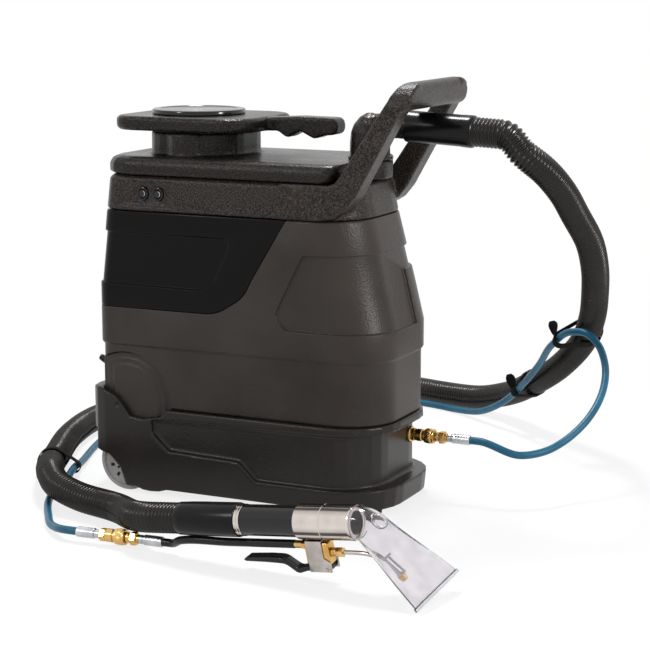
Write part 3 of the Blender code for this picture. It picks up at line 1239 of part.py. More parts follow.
def make_vacuum_hose():
    start = spigot_mouth() + spigot_direction() * (CUFF_LENGTH + CLEARANCE)
    along = Vector(tool_axis())
    back = TUBE_LENGTH + GRIP_LENGTH + BAND_LENGTH + TOOL_CUFF_LENGTH + 4 * CLEARANCE
    end = Vector(TOOL_AT) - along * back
    route = with_straight_ends(start, end, spigot_direction(), along, VACUUM_ROUTE,
                               2 * VACUUM_HOSE_RADIUS, VACUUM_HOSE_RADIUS + CLEARANCE)
    ribs = spaced(route, 2 * RIB_COUNT)
    radii = [VACUUM_HOSE_RADIUS if k % 2 else VACUUM_VALLEY_RADIUS for k in range(len(ribs))]
    hose = meshed(tube(ribs, 1.0, radii))
    core = [start - spigot_direction() * 0.005] + spaced(route, 40) + [end + along * 0.005]
    cut(hose, meshed(tube(core, VACUUM_BORE_RADIUS)))
    make_part(hose, "vacuum_hose", rubber_black())
    print("vacuum hose length", round(route_length(ribs), 4))
    reach = 12
    least = min((ribs[a] - ribs[b]).length for a in range(len(ribs)) for b in range(a + reach, len(ribs)))
    print("vacuum hose least gap to itself", round(least - 2 * VACUUM_HOSE_RADIUS, 4))
    return ribs


def make_solution_hose(start_x):
    start = (start_x + CLEARANCE, COUPLER_Y, COUPLER_Z)
    turn = Matrix.Rotation(TOOL_COUPLER_TURN, 3, "Z")
    along = turn @ Vector((1, 0, 0))
    end = Vector(TOOL_COUPLER_AT) - along * CLEARANCE
    route = with_straight_ends(start, end, (1, 0, 0), along, SOLUTION_ROUTE,
                               2 * SOLUTION_HOSE_RADIUS, SOLUTION_HOSE_RADIUS + CLEARANCE)
    points = plain_points(route, 48)
    make_part(tube(points, SOLUTION_HOSE_RADIUS), "solution_hose", blue_rubber())
    print("solution hose length", round(route_length(points), 4))
    return points


def make_tool_hose(start_x):
    turn = Matrix.Rotation(TOOL_COUPLER_TURN, 3, "Z")
    along = turn @ Vector((1, 0, 0))
    start = Vector(TOOL_COUPLER_AT) + along * (start_x + CLEARANCE)
    fitting = Vector((VALVE_X - VALVE_LENGTH / 2 - INLET_FITTING_LENGTH - CLEARANCE, 0, INLET_Z))
    end = HAND_TOOL.matrix_local @ fitting
    route = with_straight_ends(start, end, along, tool_axis(), TOOL_ROUTE,
                               2 * SOLUTION_HOSE_RADIUS, SOLUTION_HOSE_RADIUS + CLEARANCE)
    points = plain_points(route, 12)
    make_part(tube(points, SOLUTION_HOSE_RADIUS), "tool_hose", rubber_black())
    print("tool hose length", round(route_length(points), 4))


def belt_outline(first, second, first_radius, second_radius):
    """Outline of a belt drawn round two circles, in the plane that holds their centres."""
    gap = second - first
    lean = math.acos((first_radius - second_radius) / gap)
    outline = arc((first, 0), first_radius, lean, 2 * math.pi - 2 * lean, 12)
    return outline + arc((second, 0), second_radius, -lean, 2 * lean, 6)


def make_strap(name, vacuum_at, solution_at, along, solution_along):
    """Hook-and-loop band round the two hoses, wider where the thin one crosses it at a slant."""
    ahead = Vector(along).normalized()
    slant = STRAP_WIDTH / 2 * math.tan(ahead.angle(solution_along))
    thin_radius = SOLUTION_HOSE_RADIUS + 2 * STRAP_SLACK + 1.9 * slant
    across = Vector(solution_at) - Vector(vacuum_at)
    across = (across - ahead * across.dot(ahead))
    gap = across.length
    across.normalize()
    inner = belt_outline(0.0, gap, VACUUM_HOSE_RADIUS + STRAP_SLACK, thin_radius)
    outer = belt_outline(0.0, gap, VACUUM_HOSE_RADIUS + STRAP_SLACK + STRAP_THICKNESS,
                         thin_radius + STRAP_THICKNESS)
    band = plate([outer, inner], STRAP_WIDTH)
    turn = Matrix((across, ahead.cross(across), ahead)).transposed()
    band.matrix_local = Matrix.Translation(Vector(vacuum_at)) @ turn.to_4x4()
    make_part(meshed(band), name, rubber_black())


def nearest(route, target):
    """Place on a route closest to the target, and the route's direction there."""
    points = spaced(route, 900)
    reach = 8
    best = min(range(reach, len(points) - reach), key=lambda k: (points[k] - Vector(target)).length)
    return points[best], points[best + reach] - points[best - reach]


# ---------------------------------------------------------------- hand tool

def tool_axis():
    return HAND_TOOL.matrix_local.to_3x3() @ Vector((1, 0, 0))


def make_wand():
    axis = (1, 0, 0)
    at = (0, 0, 0)
    tool = HAND_TOOL
    seam = -0.047
    tail = -TUBE_LENGTH - GRIP_LENGTH
    wand = barrel([(tail, TUBE_INNER_RADIUS), (-TUBE_LENGTH, TUBE_INNER_RADIUS), (-TUBE_LENGTH, TUBE_RADIUS),
                   (seam - 0.001, TUBE_RADIUS), (seam - 0.001, TUBE_RADIUS - 0.0006), (seam, TUBE_RADIUS - 0.0006),
                   (seam, TUBE_RADIUS), (0, TUBE_RADIUS)],
                  at, axis, bore=TUBE_BORE, steps=20, parent=tool)
    make_part(wand, "wand_tube", chrome())
    high = -TUBE_LENGTH - CLEARANCE
    low = high - GRIP_LENGTH
    grip = barrel([(low, GRIP_RADIUS), (high, GRIP_RADIUS)], at, axis,
                  bore=TUBE_INNER_RADIUS + CLEARANCE, steps=20, parent=tool)
    make_part(grip, "grip_sleeve", gloss_black())
    high = low - CLEARANCE
    low = high - BAND_LENGTH
    ring = barrel([(low, BAND_RADIUS), (high, BAND_RADIUS)], at, axis, bore=TUBE_BORE, steps=16, parent=tool)
    make_part(ring, "tube_band", zinc())
    high = low - CLEARANCE
    low = high - TOOL_CUFF_LENGTH
    cuff = barrel([(low, TOOL_CUFF_RADIUS - 0.0008), (low + 0.012, TOOL_CUFF_RADIUS),
                   (high - 0.002, TOOL_CUFF_RADIUS), (high, TOOL_CUFF_RADIUS - 0.001)],
                  at, axis, bore=TUBE_BORE, steps=16, parent=tool)
    make_part(cuff, "tool_cuff", rubber_black())


def oval_ring(centre, tilt, half_width_, half_height, squareness):
    """Ring of points square to a direction that droops by tilt, from round to nearly square."""
    up = Vector((math.sin(tilt), 0, math.cos(tilt)))
    ring = []
    for k in range(20):
        angle = 2 * math.pi * k / 20
        c = math.cos(angle)
        s = math.sin(angle)
        power = 2 / squareness
        across = math.copysign(abs(c) ** power, c) * half_width_
        rise = math.copysign(abs(s) ** power, s) * half_height
        ring.append(Vector(centre) + Vector((0, across, 0)) + up * rise)
    return ring


def head_rings(wall, stretch):
    """Sections of the clear head from the tube's mouth to the slot."""
    bend_at = 0.014
    bend = Vector((bend_at, 0, 0))
    ahead = Vector((math.cos(HEAD_DROOP), 0, -math.sin(HEAD_DROOP)))
    half_slot = SLOT_WIDTH / 2
    length = HEAD_LENGTH - bend_at
    start = CLEARANCE - stretch
    round_radius = TUBE_RADIUS - 0.0005
    stations = ((0.26, 0.0285, 0.0190, 2.4), (0.65, 0.0430, 0.0110, 3.4))
    rings = [oval_ring((start, 0, 0), 0.0, round_radius - wall, round_radius - wall, 2.0),
             oval_ring((0.008, 0, 0), HEAD_DROOP * 0.25, round_radius - wall, round_radius - wall, 2.0),
             oval_ring((0.017, 0, -0.004), HEAD_DROOP * 0.7, round_radius - wall, round_radius - wall, 2.1)]
    for share, wide, thick, square in stations:
        wide = wide * SLOT_WIDTH / 0.102
        rings.append(oval_ring(bend + ahead * length * share, HEAD_DROOP, wide - wall, thick - wall, square))
    rings.append(oval_ring(bend + ahead * (length + stretch), HEAD_DROOP,
                           half_slot - wall, SLOT_THICKNESS / 2 - wall * 0.8, 5.0))
    return rings


def make_head():
    head = loft(head_rings(0.0, 0.0), HAND_TOOL)
    cut(head, loft(head_rings(HEAD_WALL, 0.004), HAND_TOOL))
    make_part(head, "nozzle_head", clear_plastic())


def make_valve():
    tool = HAND_TOOL
    x0 = VALVE_X - VALVE_LENGTH / 2
    x1 = VALVE_X + VALVE_LENGTH / 2
    half = VALVE_WIDTH / 2
    valve = round_edges(box(x0, x1, -half, half, VALVE_BOTTOM, VALVE_TOP, tool), 0.0025, 1)
    axis = (1, 0, 0)
    inlet = barrel([(-INLET_FITTING_LENGTH, INLET_FITTING_RADIUS), (0.002, INLET_FITTING_RADIUS)],
                   (x0, 0, INLET_Z), axis, steps=10, parent=tool)
    outlet = barrel([(-0.002, OUTLET_RADIUS), (OUTLET_LENGTH, OUTLET_RADIUS)],
                    (x1, 0, OUTLET_Z), axis, steps=6, parent=tool)
    bore = barrel([(VALVE_BOTTOM - 0.01, PLUNGER_RADIUS + CLEARANCE), (VALVE_BOTTOM + 0.012, PLUNGER_RADIUS + CLEARANCE)],
                  (VALVE_X, 0, 0), (0, 0, 1), steps=10, parent=tool)
    join(valve, inlet, outlet)
    cut(valve, bore)
    make_part(valve, "valve_body", brass())

    inner = half + CLEARANCE
    outer = inner + SADDLE_SHEET
    web_top = -TUBE_RADIUS - CLEARANCE
    web_bottom = web_top - SADDLE_SHEET
    saddle = side_plate([
        (x0 + 0.004, web_top), (x1 - 0.009, web_top), (x1 - 0.009, -0.050),
        (LEVER_PIVOT_X + 0.008, -0.056), (LEVER_PIVOT_X + 0.008, SADDLE_BOTTOM), (x0 + 0.004, SADDLE_BOTTOM),
    ], -outer, outer, tool)
    gap = box(x0 - 0.05, x1 + 0.05, -inner, inner, SADDLE_BOTTOM - 0.01, web_bottom, tool)
    pin_hole = barrel([(-0.05, PIN_RADIUS + CLEARANCE), (0.05, PIN_RADIUS + CLEARANCE)],
                      (LEVER_PIVOT_X, 0, LEVER_PIVOT_Z), (0, 1, 0), steps=10, parent=tool)
    cut(saddle, gap, pin_hole)
    make_part(saddle, "valve_saddle", zinc())
    pin = barrel([(-outer - 0.0005, PIN_RADIUS), (outer + 0.0005, PIN_RADIUS)],
                 (LEVER_PIVOT_X, 0, LEVER_PIVOT_Z), (0, 1, 0), steps=10, parent=tool)
    make_part(pin, "lever_pin", zinc())

    rest = LEVER_PIVOT_Z
    lever = side_plate(rounded([
        (LEVER_PIVOT_X + 0.005, rest + 0.0045, 0.004), (LEVER_PIVOT_X - 0.030, rest + 0.0025, 0.02),
        (-0.095, rest + 0.0005, 0.01), (-0.104, rest - 0.0020, 0.01), (-0.126, rest + 0.0135, 0.02),
        (-0.150, rest + 0.0140, 0.03), (-0.186, rest + 0.0125, 0.004), (-0.191, rest + 0.0085, 0.002),
        (-0.187, rest + 0.0065, 0.003), (-0.150, rest + 0.0060, 0.02), (-0.122, rest + 0.0045, 0.02),
        (-0.104, rest - 0.0095, 0.01), (-0.088, rest - 0.0045, 0.02), (LEVER_PIVOT_X + 0.005, rest - 0.0045, 0.004),
    ]), -half + 0.0003, half - 0.0003, tool)
    hole = barrel([(-0.05, PIN_RADIUS + CLEARANCE), (0.05, PIN_RADIUS + CLEARANCE)],
                  (LEVER_PIVOT_X, 0, LEVER_PIVOT_Z), (0, 1, 0), steps=10, parent=tool)
    cut(lever, hole)
    make_part(lever, "trigger_lever", gloss_black())

    touch = rest + 0.0045
    plunger = barrel([(touch, PLUNGER_RADIUS), (VALVE_BOTTOM + 0.008, PLUNGER_RADIUS)],
                     (VALVE_X, 0, 0), (0, 0, 1), steps=10, parent=tool)
    make_part(plunger, "valve_plunger", zinc())

    ahead = Vector((math.cos(HEAD_DROOP), 0, -math.sin(HEAD_DROOP)))
    below = Vector((-math.sin(HEAD_DROOP), 0, -math.cos(HEAD_DROOP)))
    bend = Vector((0.014, 0, 0))
    jet = bend + ahead * 0.078 + below * 0.024
    start = Vector((x1 + OUTLET_LENGTH + CLEARANCE, 0, OUTLET_Z))
    pipe = with_straight_ends(start, jet, (1, 0, 0), ahead, [(0.022, 0, OUTLET_Z - 0.006)], 0.006, -1.0)
    make_part(tube(plain_points(pipe, 6), JET_PIPE_RADIUS, parent=tool), "jet_pipe", brass())
    foot = jet + ahead * CLEARANCE
    spray = barrel([(0, 0.005), (0.008, 0.005), (0.012, 0.003)], foot, ahead, steps=8, parent=tool)
    bracket = box(-0.0095, 0.0095, 0.001, 0.004, -0.005, 0.0118, tool)
    bracket.matrix_local = Matrix.Translation(foot) @ Matrix((
        Vector((0, 1, 0)), ahead, -below)).transposed().to_4x4()
    join(spray, bracket)
    make_part(spray, "spray_jet", brass())


# ---------------------------------------------------------------- whole

def on_a_cord(name):
    """Hoses, and what lies on them: cuffs, straps, ferrules, plugs and the coupler by the tool."""
    return name.endswith(("_hose", "_cuff", "_ferrule", "_plug")) or name.startswith(("hose_strap", "tool_coupler"))


def centre_on_floor():
    """Puts the origin under the middle of everything but the hoses."""
    bpy.context.view_layer.update()
    graph = bpy.context.evaluated_depsgraph_get()
    corners = []
    for item in PARTS.objects:
        if item.type == "EMPTY" or on_a_cord(item.name):
            continue
        shape = item.evaluated_get(graph)
        corners += [shape.matrix_world @ vertex.co for vertex in shape.to_mesh().vertices]
        shape.to_mesh_clear()
    for k in (0, 1):
        values = [corner[k] for corner in corners]
        ROOT.location[k] = -(min(values) + max(values)) / 2
    print("machine stands at", tuple(round(value, 5) for value in ROOT.location))


def main():
    global PARTS, CUTTERS, ROOT, HAND_TOOL
    clear_scene()
    PARTS = new_collection("spot_extractor")
    CUTTERS = new_collection("cutters")
    ROOT = new_empty("machine_centre")
    HAND_TOOL = new_empty("hand_tool", ROOT, TOOL_AT, TOOL_TURN)
    tool_line = new_empty("tool_line", ROOT, TOOL_COUPLER_AT, (0, 0, TOOL_COUPLER_TURN))
    bpy.context.view_layer.update()

    make_base()
    make_wheels()
    make_hood()
    make_vacuum_motor()
    make_cord_gland()
    make_solution_tank()
    make_front_panel()
    make_handle_frame()
    make_switches()
    make_recovery_tank()
    make_standpipe()
    make_lid()
    make_inlet_elbow()
    make_pump()

    face = (coupler_face(), COUPLER_Y, COUPLER_Z)
    length = make_coupler("machine_coupler", None, face, True)
    length = make_ferrule("machine_hose_ferrule", None, face, length)
    ferrule_end = make_ferrule("solution_hose_ferrule", tool_line, (0, 0, 0), 0.0)
    line_at = (ferrule_end + CLEARANCE, 0, 0)
    line_length = make_coupler("tool_coupler", tool_line, line_at, False)
    line_length = make_ferrule("tool_hose_ferrule", tool_line, line_at, line_length)

    make_cuff()
    vacuum_points = make_vacuum_hose()
    solution_points = make_solution_hose(coupler_face() + length)
    for number, near in enumerate(STRAPS_AT, 1):
        vacuum_at, along = nearest(vacuum_points, near)
        solution_at, solution_along = nearest(solution_points, vacuum_at)
        make_strap(f"hose_strap_{number}", vacuum_at, solution_at, along, solution_along)
    make_tool_hose(line_at[0] + line_length)
    make_wand()
    make_head()
    make_valve()
    centre_on_floor()


main()
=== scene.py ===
import math

import bmesh
import bpy
from mathutils import Euler, Matrix, Vector


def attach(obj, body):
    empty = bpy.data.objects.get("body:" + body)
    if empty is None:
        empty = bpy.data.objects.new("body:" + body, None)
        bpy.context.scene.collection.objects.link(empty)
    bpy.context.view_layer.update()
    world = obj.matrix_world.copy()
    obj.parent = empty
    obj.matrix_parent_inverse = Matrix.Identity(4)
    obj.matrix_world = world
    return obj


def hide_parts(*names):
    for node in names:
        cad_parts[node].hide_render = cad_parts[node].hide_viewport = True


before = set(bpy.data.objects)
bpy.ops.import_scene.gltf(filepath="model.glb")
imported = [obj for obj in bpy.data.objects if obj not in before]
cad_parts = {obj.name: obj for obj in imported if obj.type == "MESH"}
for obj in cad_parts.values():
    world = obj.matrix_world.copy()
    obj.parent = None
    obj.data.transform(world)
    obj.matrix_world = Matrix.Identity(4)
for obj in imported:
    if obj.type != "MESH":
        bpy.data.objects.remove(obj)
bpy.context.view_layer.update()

machineAt = Vector((-0.00435, 0.17458, 0.0))   # the machine's own middle in the shared frame
clearance = 0.0003   # the gap that the solids leave between fitted pieces, in metres


def onMachine(x, y, z):
    return Vector((x, y, z)) + machineAt


# tools for meshes

def asPiece(name, data, body, material, replaced=(), angle=35):
    piece = bpy.data.objects.new(name, data)
    bpy.context.scene.collection.objects.link(piece)
    if material:
        data.materials.clear()
        data.materials.append(material)
    if isinstance(data, bpy.types.Mesh):
        data.shade_smooth()
        data.set_sharp_from_angle(angle=math.radians(angle))
    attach(piece, body)
    if replaced:
        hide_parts(*replaced)
    return piece


def meshOf(bm, name, matrix=None, merge=0.00001):
    if merge:
        bmesh.ops.remove_doubles(bm, verts=bm.verts, dist=merge)
    if matrix:
        bmesh.ops.transform(bm, matrix=matrix, verts=bm.verts)
    bmesh.ops.recalc_face_normals(bm, faces=bm.faces)
    data = bpy.data.meshes.new(name)
    bm.to_mesh(data)
    bm.free()
    return data


def baked(data, *changes):
    # changes are (kind, settings); each becomes a modifier, and all are applied
    holder = bpy.data.objects.new("holder", data)
    bpy.context.scene.collection.objects.link(holder)
    for kind, settings in changes:
        modifier = holder.modifiers.new(kind.lower(), kind)
        for key, value in settings.items():
            setattr(modifier, key, value)
    bpy.context.view_layer.update()
    graph = bpy.context.evaluated_depsgraph_get()
    result = bpy.data.meshes.new_from_object(holder.evaluated_get(graph))
    bpy.data.objects.remove(holder)
    return result


def carved(data, tools, operation="DIFFERENCE"):
    # data cut by, joined to or kept within each tool mesh in turn
    for tool in tools:
        cutter = bpy.data.objects.new("cutter", tool)
        bpy.context.scene.collection.objects.link(cutter)
        data = baked(data, ("BOOLEAN", {"operation": operation, "solver": "EXACT", "object": cutter}))
        bpy.data.objects.remove(cutter)
    return data


def softEdges(data, width, segments=3, angle=30):
    # rounds the sharp edges of a carved mesh, after its flat faces are joined up again
    bm = bmesh.new()
    bm.from_mesh(data)
    bmesh.ops.remove_doubles(bm, verts=bm.verts, dist=0.00002)
    bmesh.ops.dissolve_degenerate(bm, edges=bm.edges, dist=0.00002)
    bmesh.ops.dissolve_limit(bm, angle_limit=math.radians(0.6), verts=bm.verts, edges=bm.edges)
    flat = meshOf(bm, "flat", merge=0)
    return baked(flat, ("BEVEL", {"width": width, "segments": segments, "limit_method": "ANGLE",
                                  "angle_limit": math.radians(angle), "use_clamp_overlap": False,
                                  "miter_outer": "MITER_ARC"}))


def softened(node, voxel, passes, keep=1.0):
    # a copy of a CAD node with the soft edges of hollow moulded plastic
    bm = bmesh.new()
    bm.from_mesh(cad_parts[node].data)
    source = meshOf(bm, "source")
    changes = [("REMESH", {"mode": "VOXEL", "voxel_size": voxel, "use_smooth_shade": True}),
               ("SMOOTH", {"factor": 0.5, "iterations": passes})]
    if keep < 1.0:
        changes.append(("DECIMATE", {"ratio": keep}))
    return baked(source, *changes)


def lathe(profile, steps=48, matrix=None):
    # turned on local Z from (radius, height) points; a first or last radius of 0 closes it
    bm = bmesh.new()
    row = [bm.verts.new((radius, 0, height)) for radius, height in profile]
    for first, second in zip(row, row[1:]):
        bm.edges.new((first, second))
    if profile[0][0] > 0 and profile[-1][0] > 0:
        bm.edges.new((row[-1], row[0]))
    bmesh.ops.spin(bm, geom=bm.verts[:] + bm.edges[:], axis=(0, 0, 1), cent=(0, 0, 0),
                   steps=steps, angle=2 * math.pi, use_merge=True)
    return meshOf(bm, "turned", matrix)


def along(at, axis):
    # matrix that puts local Z on an axis through a point
    return Matrix.Translation(at) @ Vector(axis).to_track_quat("Z", "Y").to_matrix().to_4x4()


def rounded(outline, thickness, matrix=None, steps=6):
    # a slab on a level outline of (a, b, corner radius), from 0 up to its thickness
    bm = bmesh.new()
    corners = [bm.verts.new((a, b, 0)) for a, b, radius in outline]
    bm.faces.new(corners)
    points = [Vector((a, b, 0)) for a, b, radius in outline]
    for k, (corner, (a, b, radius)) in enumerate(zip(corners, outline)):
        if radius > 0:
            back = points[k - 1] - points[k]
            ahead = points[(k + 1) % len(points)] - points[k]
            reach = min(radius / math.tan(back.angle(ahead) / 2), 0.47 * back.length, 0.47 * ahead.length)
            bmesh.ops.bevel(bm, geom=[corner], affect="VERTICES", offset=reach, segments=steps,
                            profile=0.5, material=-1, offset_type="ABSOLUTE")
    raised = bmesh.ops.extrude_face_region(bm, geom=bm.faces[:], use_keep_orig=True)
    lifted = [item for item in raised["geom"] if isinstance(item, bmesh.types.BMVert)]
    bmesh.ops.translate(bm, vec=(0, 0, thickness), verts=lifted)
    return meshOf(bm, "slab", matrix)


def upright(y0):
    # puts a level outline of (x, z) points upright, its thickness running on from y0 to +Y
    return Matrix(((1, 0, 0, 0), (0, 0, 1, y0), (0, 1, 0, 0), (0, 0, 0, 1)))


def block(x0, x1, y0, y1, z0, z1, matrix=None, edge=0.0, segments=3):
    bm = bmesh.new()
    bmesh.ops.create_cube(bm, size=1)
    bmesh.ops.scale(bm, vec=(x1 - x0, y1 - y0, z1 - z0), verts=bm.verts)
    bmesh.ops.translate(bm, vec=((x0 + x1) / 2, (y0 + y1) / 2, (z0 + z1) / 2), verts=bm.verts)
    if edge:
        bmesh.ops.bevel(bm, geom=bm.edges[:], affect="EDGES", offset=edge, segments=segments,
                        profile=0.5, material=-1)
    return meshOf(bm, "block", matrix)


def merged(*meshes):
    bm = bmesh.new()
    for data in meshes:
        bm.from_mesh(data)
    return meshOf(bm, "merged", merge=0)


# tools for materials

def linear(code):
    channels = [int(code[k:k + 2], 16) / 255 for k in (1, 3, 5)]
    return tuple(c / 12.92 if c <= 0.04045 else ((c + 0.055) / 1.055) ** 2.4 for c in channels) + (1.0,)


def add(tree, kind, links=None, **settings):
    # adds a node; settings are its options, links its sockets' values or the sockets that feed them
    node = tree.nodes.new(kind)
    for key, value in settings.items():
        setattr(node, key, value)
    for key, value in (links or {}).items():
        if isinstance(value, bpy.types.NodeSocket):
            tree.links.new(value, node.inputs[key])
        else:
            node.inputs[key].default_value = value
    return node


def newMaterial(name):
    made = bpy.data.materials.new(name)
    made.use_nodes = True
    tree = made.node_tree
    return made, tree, tree.nodes["Principled BSDF"]


def grain(tree, size, detail=2.0, roughness=0.5):
    # noise whose bumps are about size metres apart on the object itself
    place = add(tree, "ShaderNodeTexCoord")
    return add(tree, "ShaderNodeTexNoise", {"Vector": place.outputs["Object"], "Scale": 0.6 / size,
                                            "Detail": detail, "Roughness": roughness})


def ramp(tree, source, stops):
    node = add(tree, "ShaderNodeValToRGB", {"Fac": source})
    band = node.color_ramp
    while len(band.elements) < len(stops):
        band.elements.new(0.5)
    for element, (place, colour) in zip(band.elements, stops):
        element.position = place
        element.color = colour
    return node


def shades(tree, source, low, high, dark, light):
    return ramp(tree, source, [(low, linear(dark)), (high, linear(light))]).outputs["Color"]


def bumped(tree, shader, height, distance, strength=1.0, before=None):
    links = {"Height": height, "Distance": distance, "Strength": strength}
    if before:
        links["Normal"] = before
    bump = add(tree, "ShaderNodeBump", links)
    tree.links.new(bump.outputs["Normal"], shader.inputs["Normal"])
    return bump.outputs["Normal"]


def clouded(tree, shader, cloud, low, high):
    # shine that drifts slowly over the surface, between two roughness values
    drift = add(tree, "ShaderNodeMapRange", {"Value": cloud.outputs["Fac"], "From Min": 0.3, "From Max": 0.7,
                                             "To Min": low, "To Max": high})
    tree.links.new(drift.outputs["Result"], shader.inputs["Roughness"])


mouldedLooks = {"dark": "#2a2420", "light": "#3a332e", "grainSize": 0.0019, "grainDepth": 0.00050,
                "cloudSize": 0.09, "roughness": (0.32, 0.44), "shine": 0.27}


def mouldedPlastic(name, looks):
    # roto-moulded polyethylene: warm black, its skin pebbled by the mould, with slow clouds of sheen,
    # and on some a painted highlight: the pebbles' tops are painted paler, like glints of light on them
    made, tree, shader = newMaterial(name)
    fine = grain(tree, looks["grainSize"], detail=1.0)
    cloud = grain(tree, looks["cloudSize"], detail=3.0)
    colour = shades(tree, cloud.outputs["Fac"], 0.35, 0.65, looks["dark"], looks["light"])
    if "paintedPebbleHighlight" in looks:
        # painted highlight: the tops of the pebbles are lightened toward this colour, as glints of light
        # would show
        tops = ramp(tree, fine.outputs["Fac"], [(0.40, (0, 0, 0, 1)), (0.75, (1, 1, 1, 1))])
        colour = add(tree, "ShaderNodeMix", {0: tops.outputs["Color"], 6: colour,
                                             7: linear(looks["paintedPebbleHighlight"])},
                     data_type="RGBA").outputs[2]
    tree.links.new(colour, shader.inputs["Base Color"])
    clouded(tree, shader, cloud, *looks["roughness"])
    shader.inputs["IOR"].default_value = 1.5
    shader.inputs["Specular IOR Level"].default_value = looks["shine"]
    bumped(tree, shader, fine.outputs["Fac"], looks["grainDepth"])
    return made


def glossPlastic(name, colour, roughness, ripple=0.00004, shine=0.4):
    # polished ABS: smooth and dark, with the faintest waves left by the mould
    made, tree, shader = newMaterial(name)
    wave = grain(tree, 0.02, detail=1.0)
    dust = grain(tree, 0.05, detail=3.0)
    shader.inputs["Base Color"].default_value = linear(colour)
    clouded(tree, shader, dust, roughness * 0.85, roughness * 1.15)
    shader.inputs["IOR"].default_value = 1.52
    shader.inputs["Specular IOR Level"].default_value = shine
    bumped(tree, shader, wave.outputs["Fac"], ripple)
    return made


def softVinyl(name, dark, light, roughness, size=0.0012, depth=0.0001, shine=0.3):
    # extruded vinyl or rubber: satin, a little uneven in colour and shine from its extrusion
    made, tree, shader = newMaterial(name)
    fine = grain(tree, size, detail=1.0)
    cloud = grain(tree, 0.03, detail=3.0)
    tree.links.new(shades(tree, cloud.outputs["Fac"], 0.3, 0.7, dark, light), shader.inputs["Base Color"])
    clouded(tree, shader, cloud, roughness * 0.85, roughness * 1.2)
    shader.inputs["IOR"].default_value = 1.5
    shader.inputs["Specular IOR Level"].default_value = shine
    bumped(tree, shader, fine.outputs["Fac"], depth)
    return made


def turnedMetal(name, dark, light, roughness, size=0.0015, depth=0.00006, paintedReflection=False):
    # turned or pressed metal: shine that varies with handling, light tool marks, and on a polished tube
    # a painted reflection: dark and bright bands painted into the colour by the facing angle, as a bright
    # studio reflects
    made, tree, shader = newMaterial(name)
    shader.inputs["Metallic"].default_value = 1.0
    fine = grain(tree, size, detail=2.0)
    cloud = grain(tree, 0.012, detail=3.0)
    colour = shades(tree, cloud.outputs["Fac"], 0.3, 0.7, dark, light)
    if paintedReflection:
        # painted reflection: bands of bright and dark laid into the base colour by how far the surface turns
        # away
        turned = add(tree, "ShaderNodeLayerWeight", {"Blend": 0.5})
        edges = ramp(tree, turned.outputs["Facing"], [
            (0.0, linear("#efe9e6")), (0.20, linear("#f4efec")), (0.30, linear("#cfc9c5")),
            (0.35, linear("#57524f")),
            (0.45, linear("#6b6562")), (0.48, linear("#f2ece8")), (0.60, linear("#d8d2ce")),
            (0.70, linear("#4c4845"))])
        colour = add(tree, "ShaderNodeMix", {0: 1.0, 6: colour, 7: edges.outputs["Color"]},
                     data_type="RGBA", blend_type="MULTIPLY").outputs[2]
    tree.links.new(colour, shader.inputs["Base Color"])
    clouded(tree, shader, cloud, roughness * 0.7, roughness * 1.3)
    bumped(tree, shader, fine.outputs["Fac"], depth)
    return made


def clearPlastic(name):
    # injection-moulded clear plastic: glassy, a trace of smoke in the thickness, faint flow waves
    made, tree, shader = newMaterial(name)
    wave = grain(tree, 0.015, detail=1.0)
    tree.links.new(shades(tree, wave.outputs["Fac"], 0.3, 0.7, "#e9e6ea", "#f5f3f5"),
                   shader.inputs["Base Color"])
    shader.inputs["Transmission Weight"].default_value = 1.0
    shader.inputs["Roughness"].default_value = 0.03
    shader.inputs["IOR"].default_value = 1.46
    bumped(tree, shader, wave.outputs["Fac"], 0.0002)
    return made


def hookTape(name):
    # hook-and-loop tape: short dull pile over a woven nylon back
    made, tree, shader = newMaterial(name)
    pile = grain(tree, 0.0014, detail=3.0, roughness=0.7)
    tree.links.new(shades(tree, pile.outputs["Fac"], 0.35, 0.65, "#050505", "#141314"),
                   shader.inputs["Base Color"])
    shader.inputs["Roughness"].default_value = 0.85
    shader.inputs["Specular IOR Level"].default_value = 0.1
    bumped(tree, shader, pile.outputs["Fac"], 0.0008)
    return made


print("materials")
bodyPlastic = mouldedPlastic("rotoMouldedPolyethylene", mouldedLooks)
basePlastic = mouldedPlastic("rotoMouldedBase",
                             {**mouldedLooks, "dark": "#1d1917", "light": "#27221f",
                              "roughness": (0.26, 0.36),
                                                 "grainDepth": 0.0003})
# the handle and deck carry a painted highlight on their pebble tops
handlePlastic = mouldedPlastic("pebbledHandlePlastic",
                               {**mouldedLooks, "dark": "#0e0c0b", "light": "#1b1714",
                                                        "grainSize": 0.0014, "grainDepth": 0.0007,
                                                        "roughness": (0.26, 0.36), "shine": 0.20,
                                                        "paintedPebbleHighlight": "#4e453f"})
deckPlastic = mouldedPlastic("pebbledDeckPlastic", {**mouldedLooks, "dark": "#0b0a09", "light": "#151210",
                                                    "grainSize": 0.0014, "grainDepth": 0.0006,
                                                    "roughness": (0.22, 0.32), "shine": 0.18,
                                                    "paintedPebbleHighlight": "#39322d"})
panelGloss = glossPlastic("polishedPanelAbs", "#0e0c0b", 0.20, 0.0001, 0.10)
pieceGloss = glossPlastic("polishedTrimAbs", "#0c0b0b", 0.16)
hoseVinyl = softVinyl("corrugatedHoseVinyl", "#161311", "#241f1b", 0.25, shine=0.28)
cuffRubber = softVinyl("mouldedCuffRubber", "#070606", "#0e0d0d", 0.22, depth=0.00010, shine=0.20)
footRubber = softVinyl("mouldedFootRubber", "#161515", "#222121", 0.6)
blueJacket = softVinyl("blueHoseJacket", "#104d66", "#185f7a", 0.38, size=0.002, depth=0.00008)
blackJacket = softVinyl("blackHoseJacket", "#0e0e0e", "#181818", 0.30, depth=0.00006)
brassMetal = turnedMetal("turnedBrass", "#c59850", "#e3bf7e", 0.22)
zincMetal = turnedMetal("zincPlatedSteel", "#a9aeb0", "#c9cccd", 0.32, size=0.002, depth=0.00025)
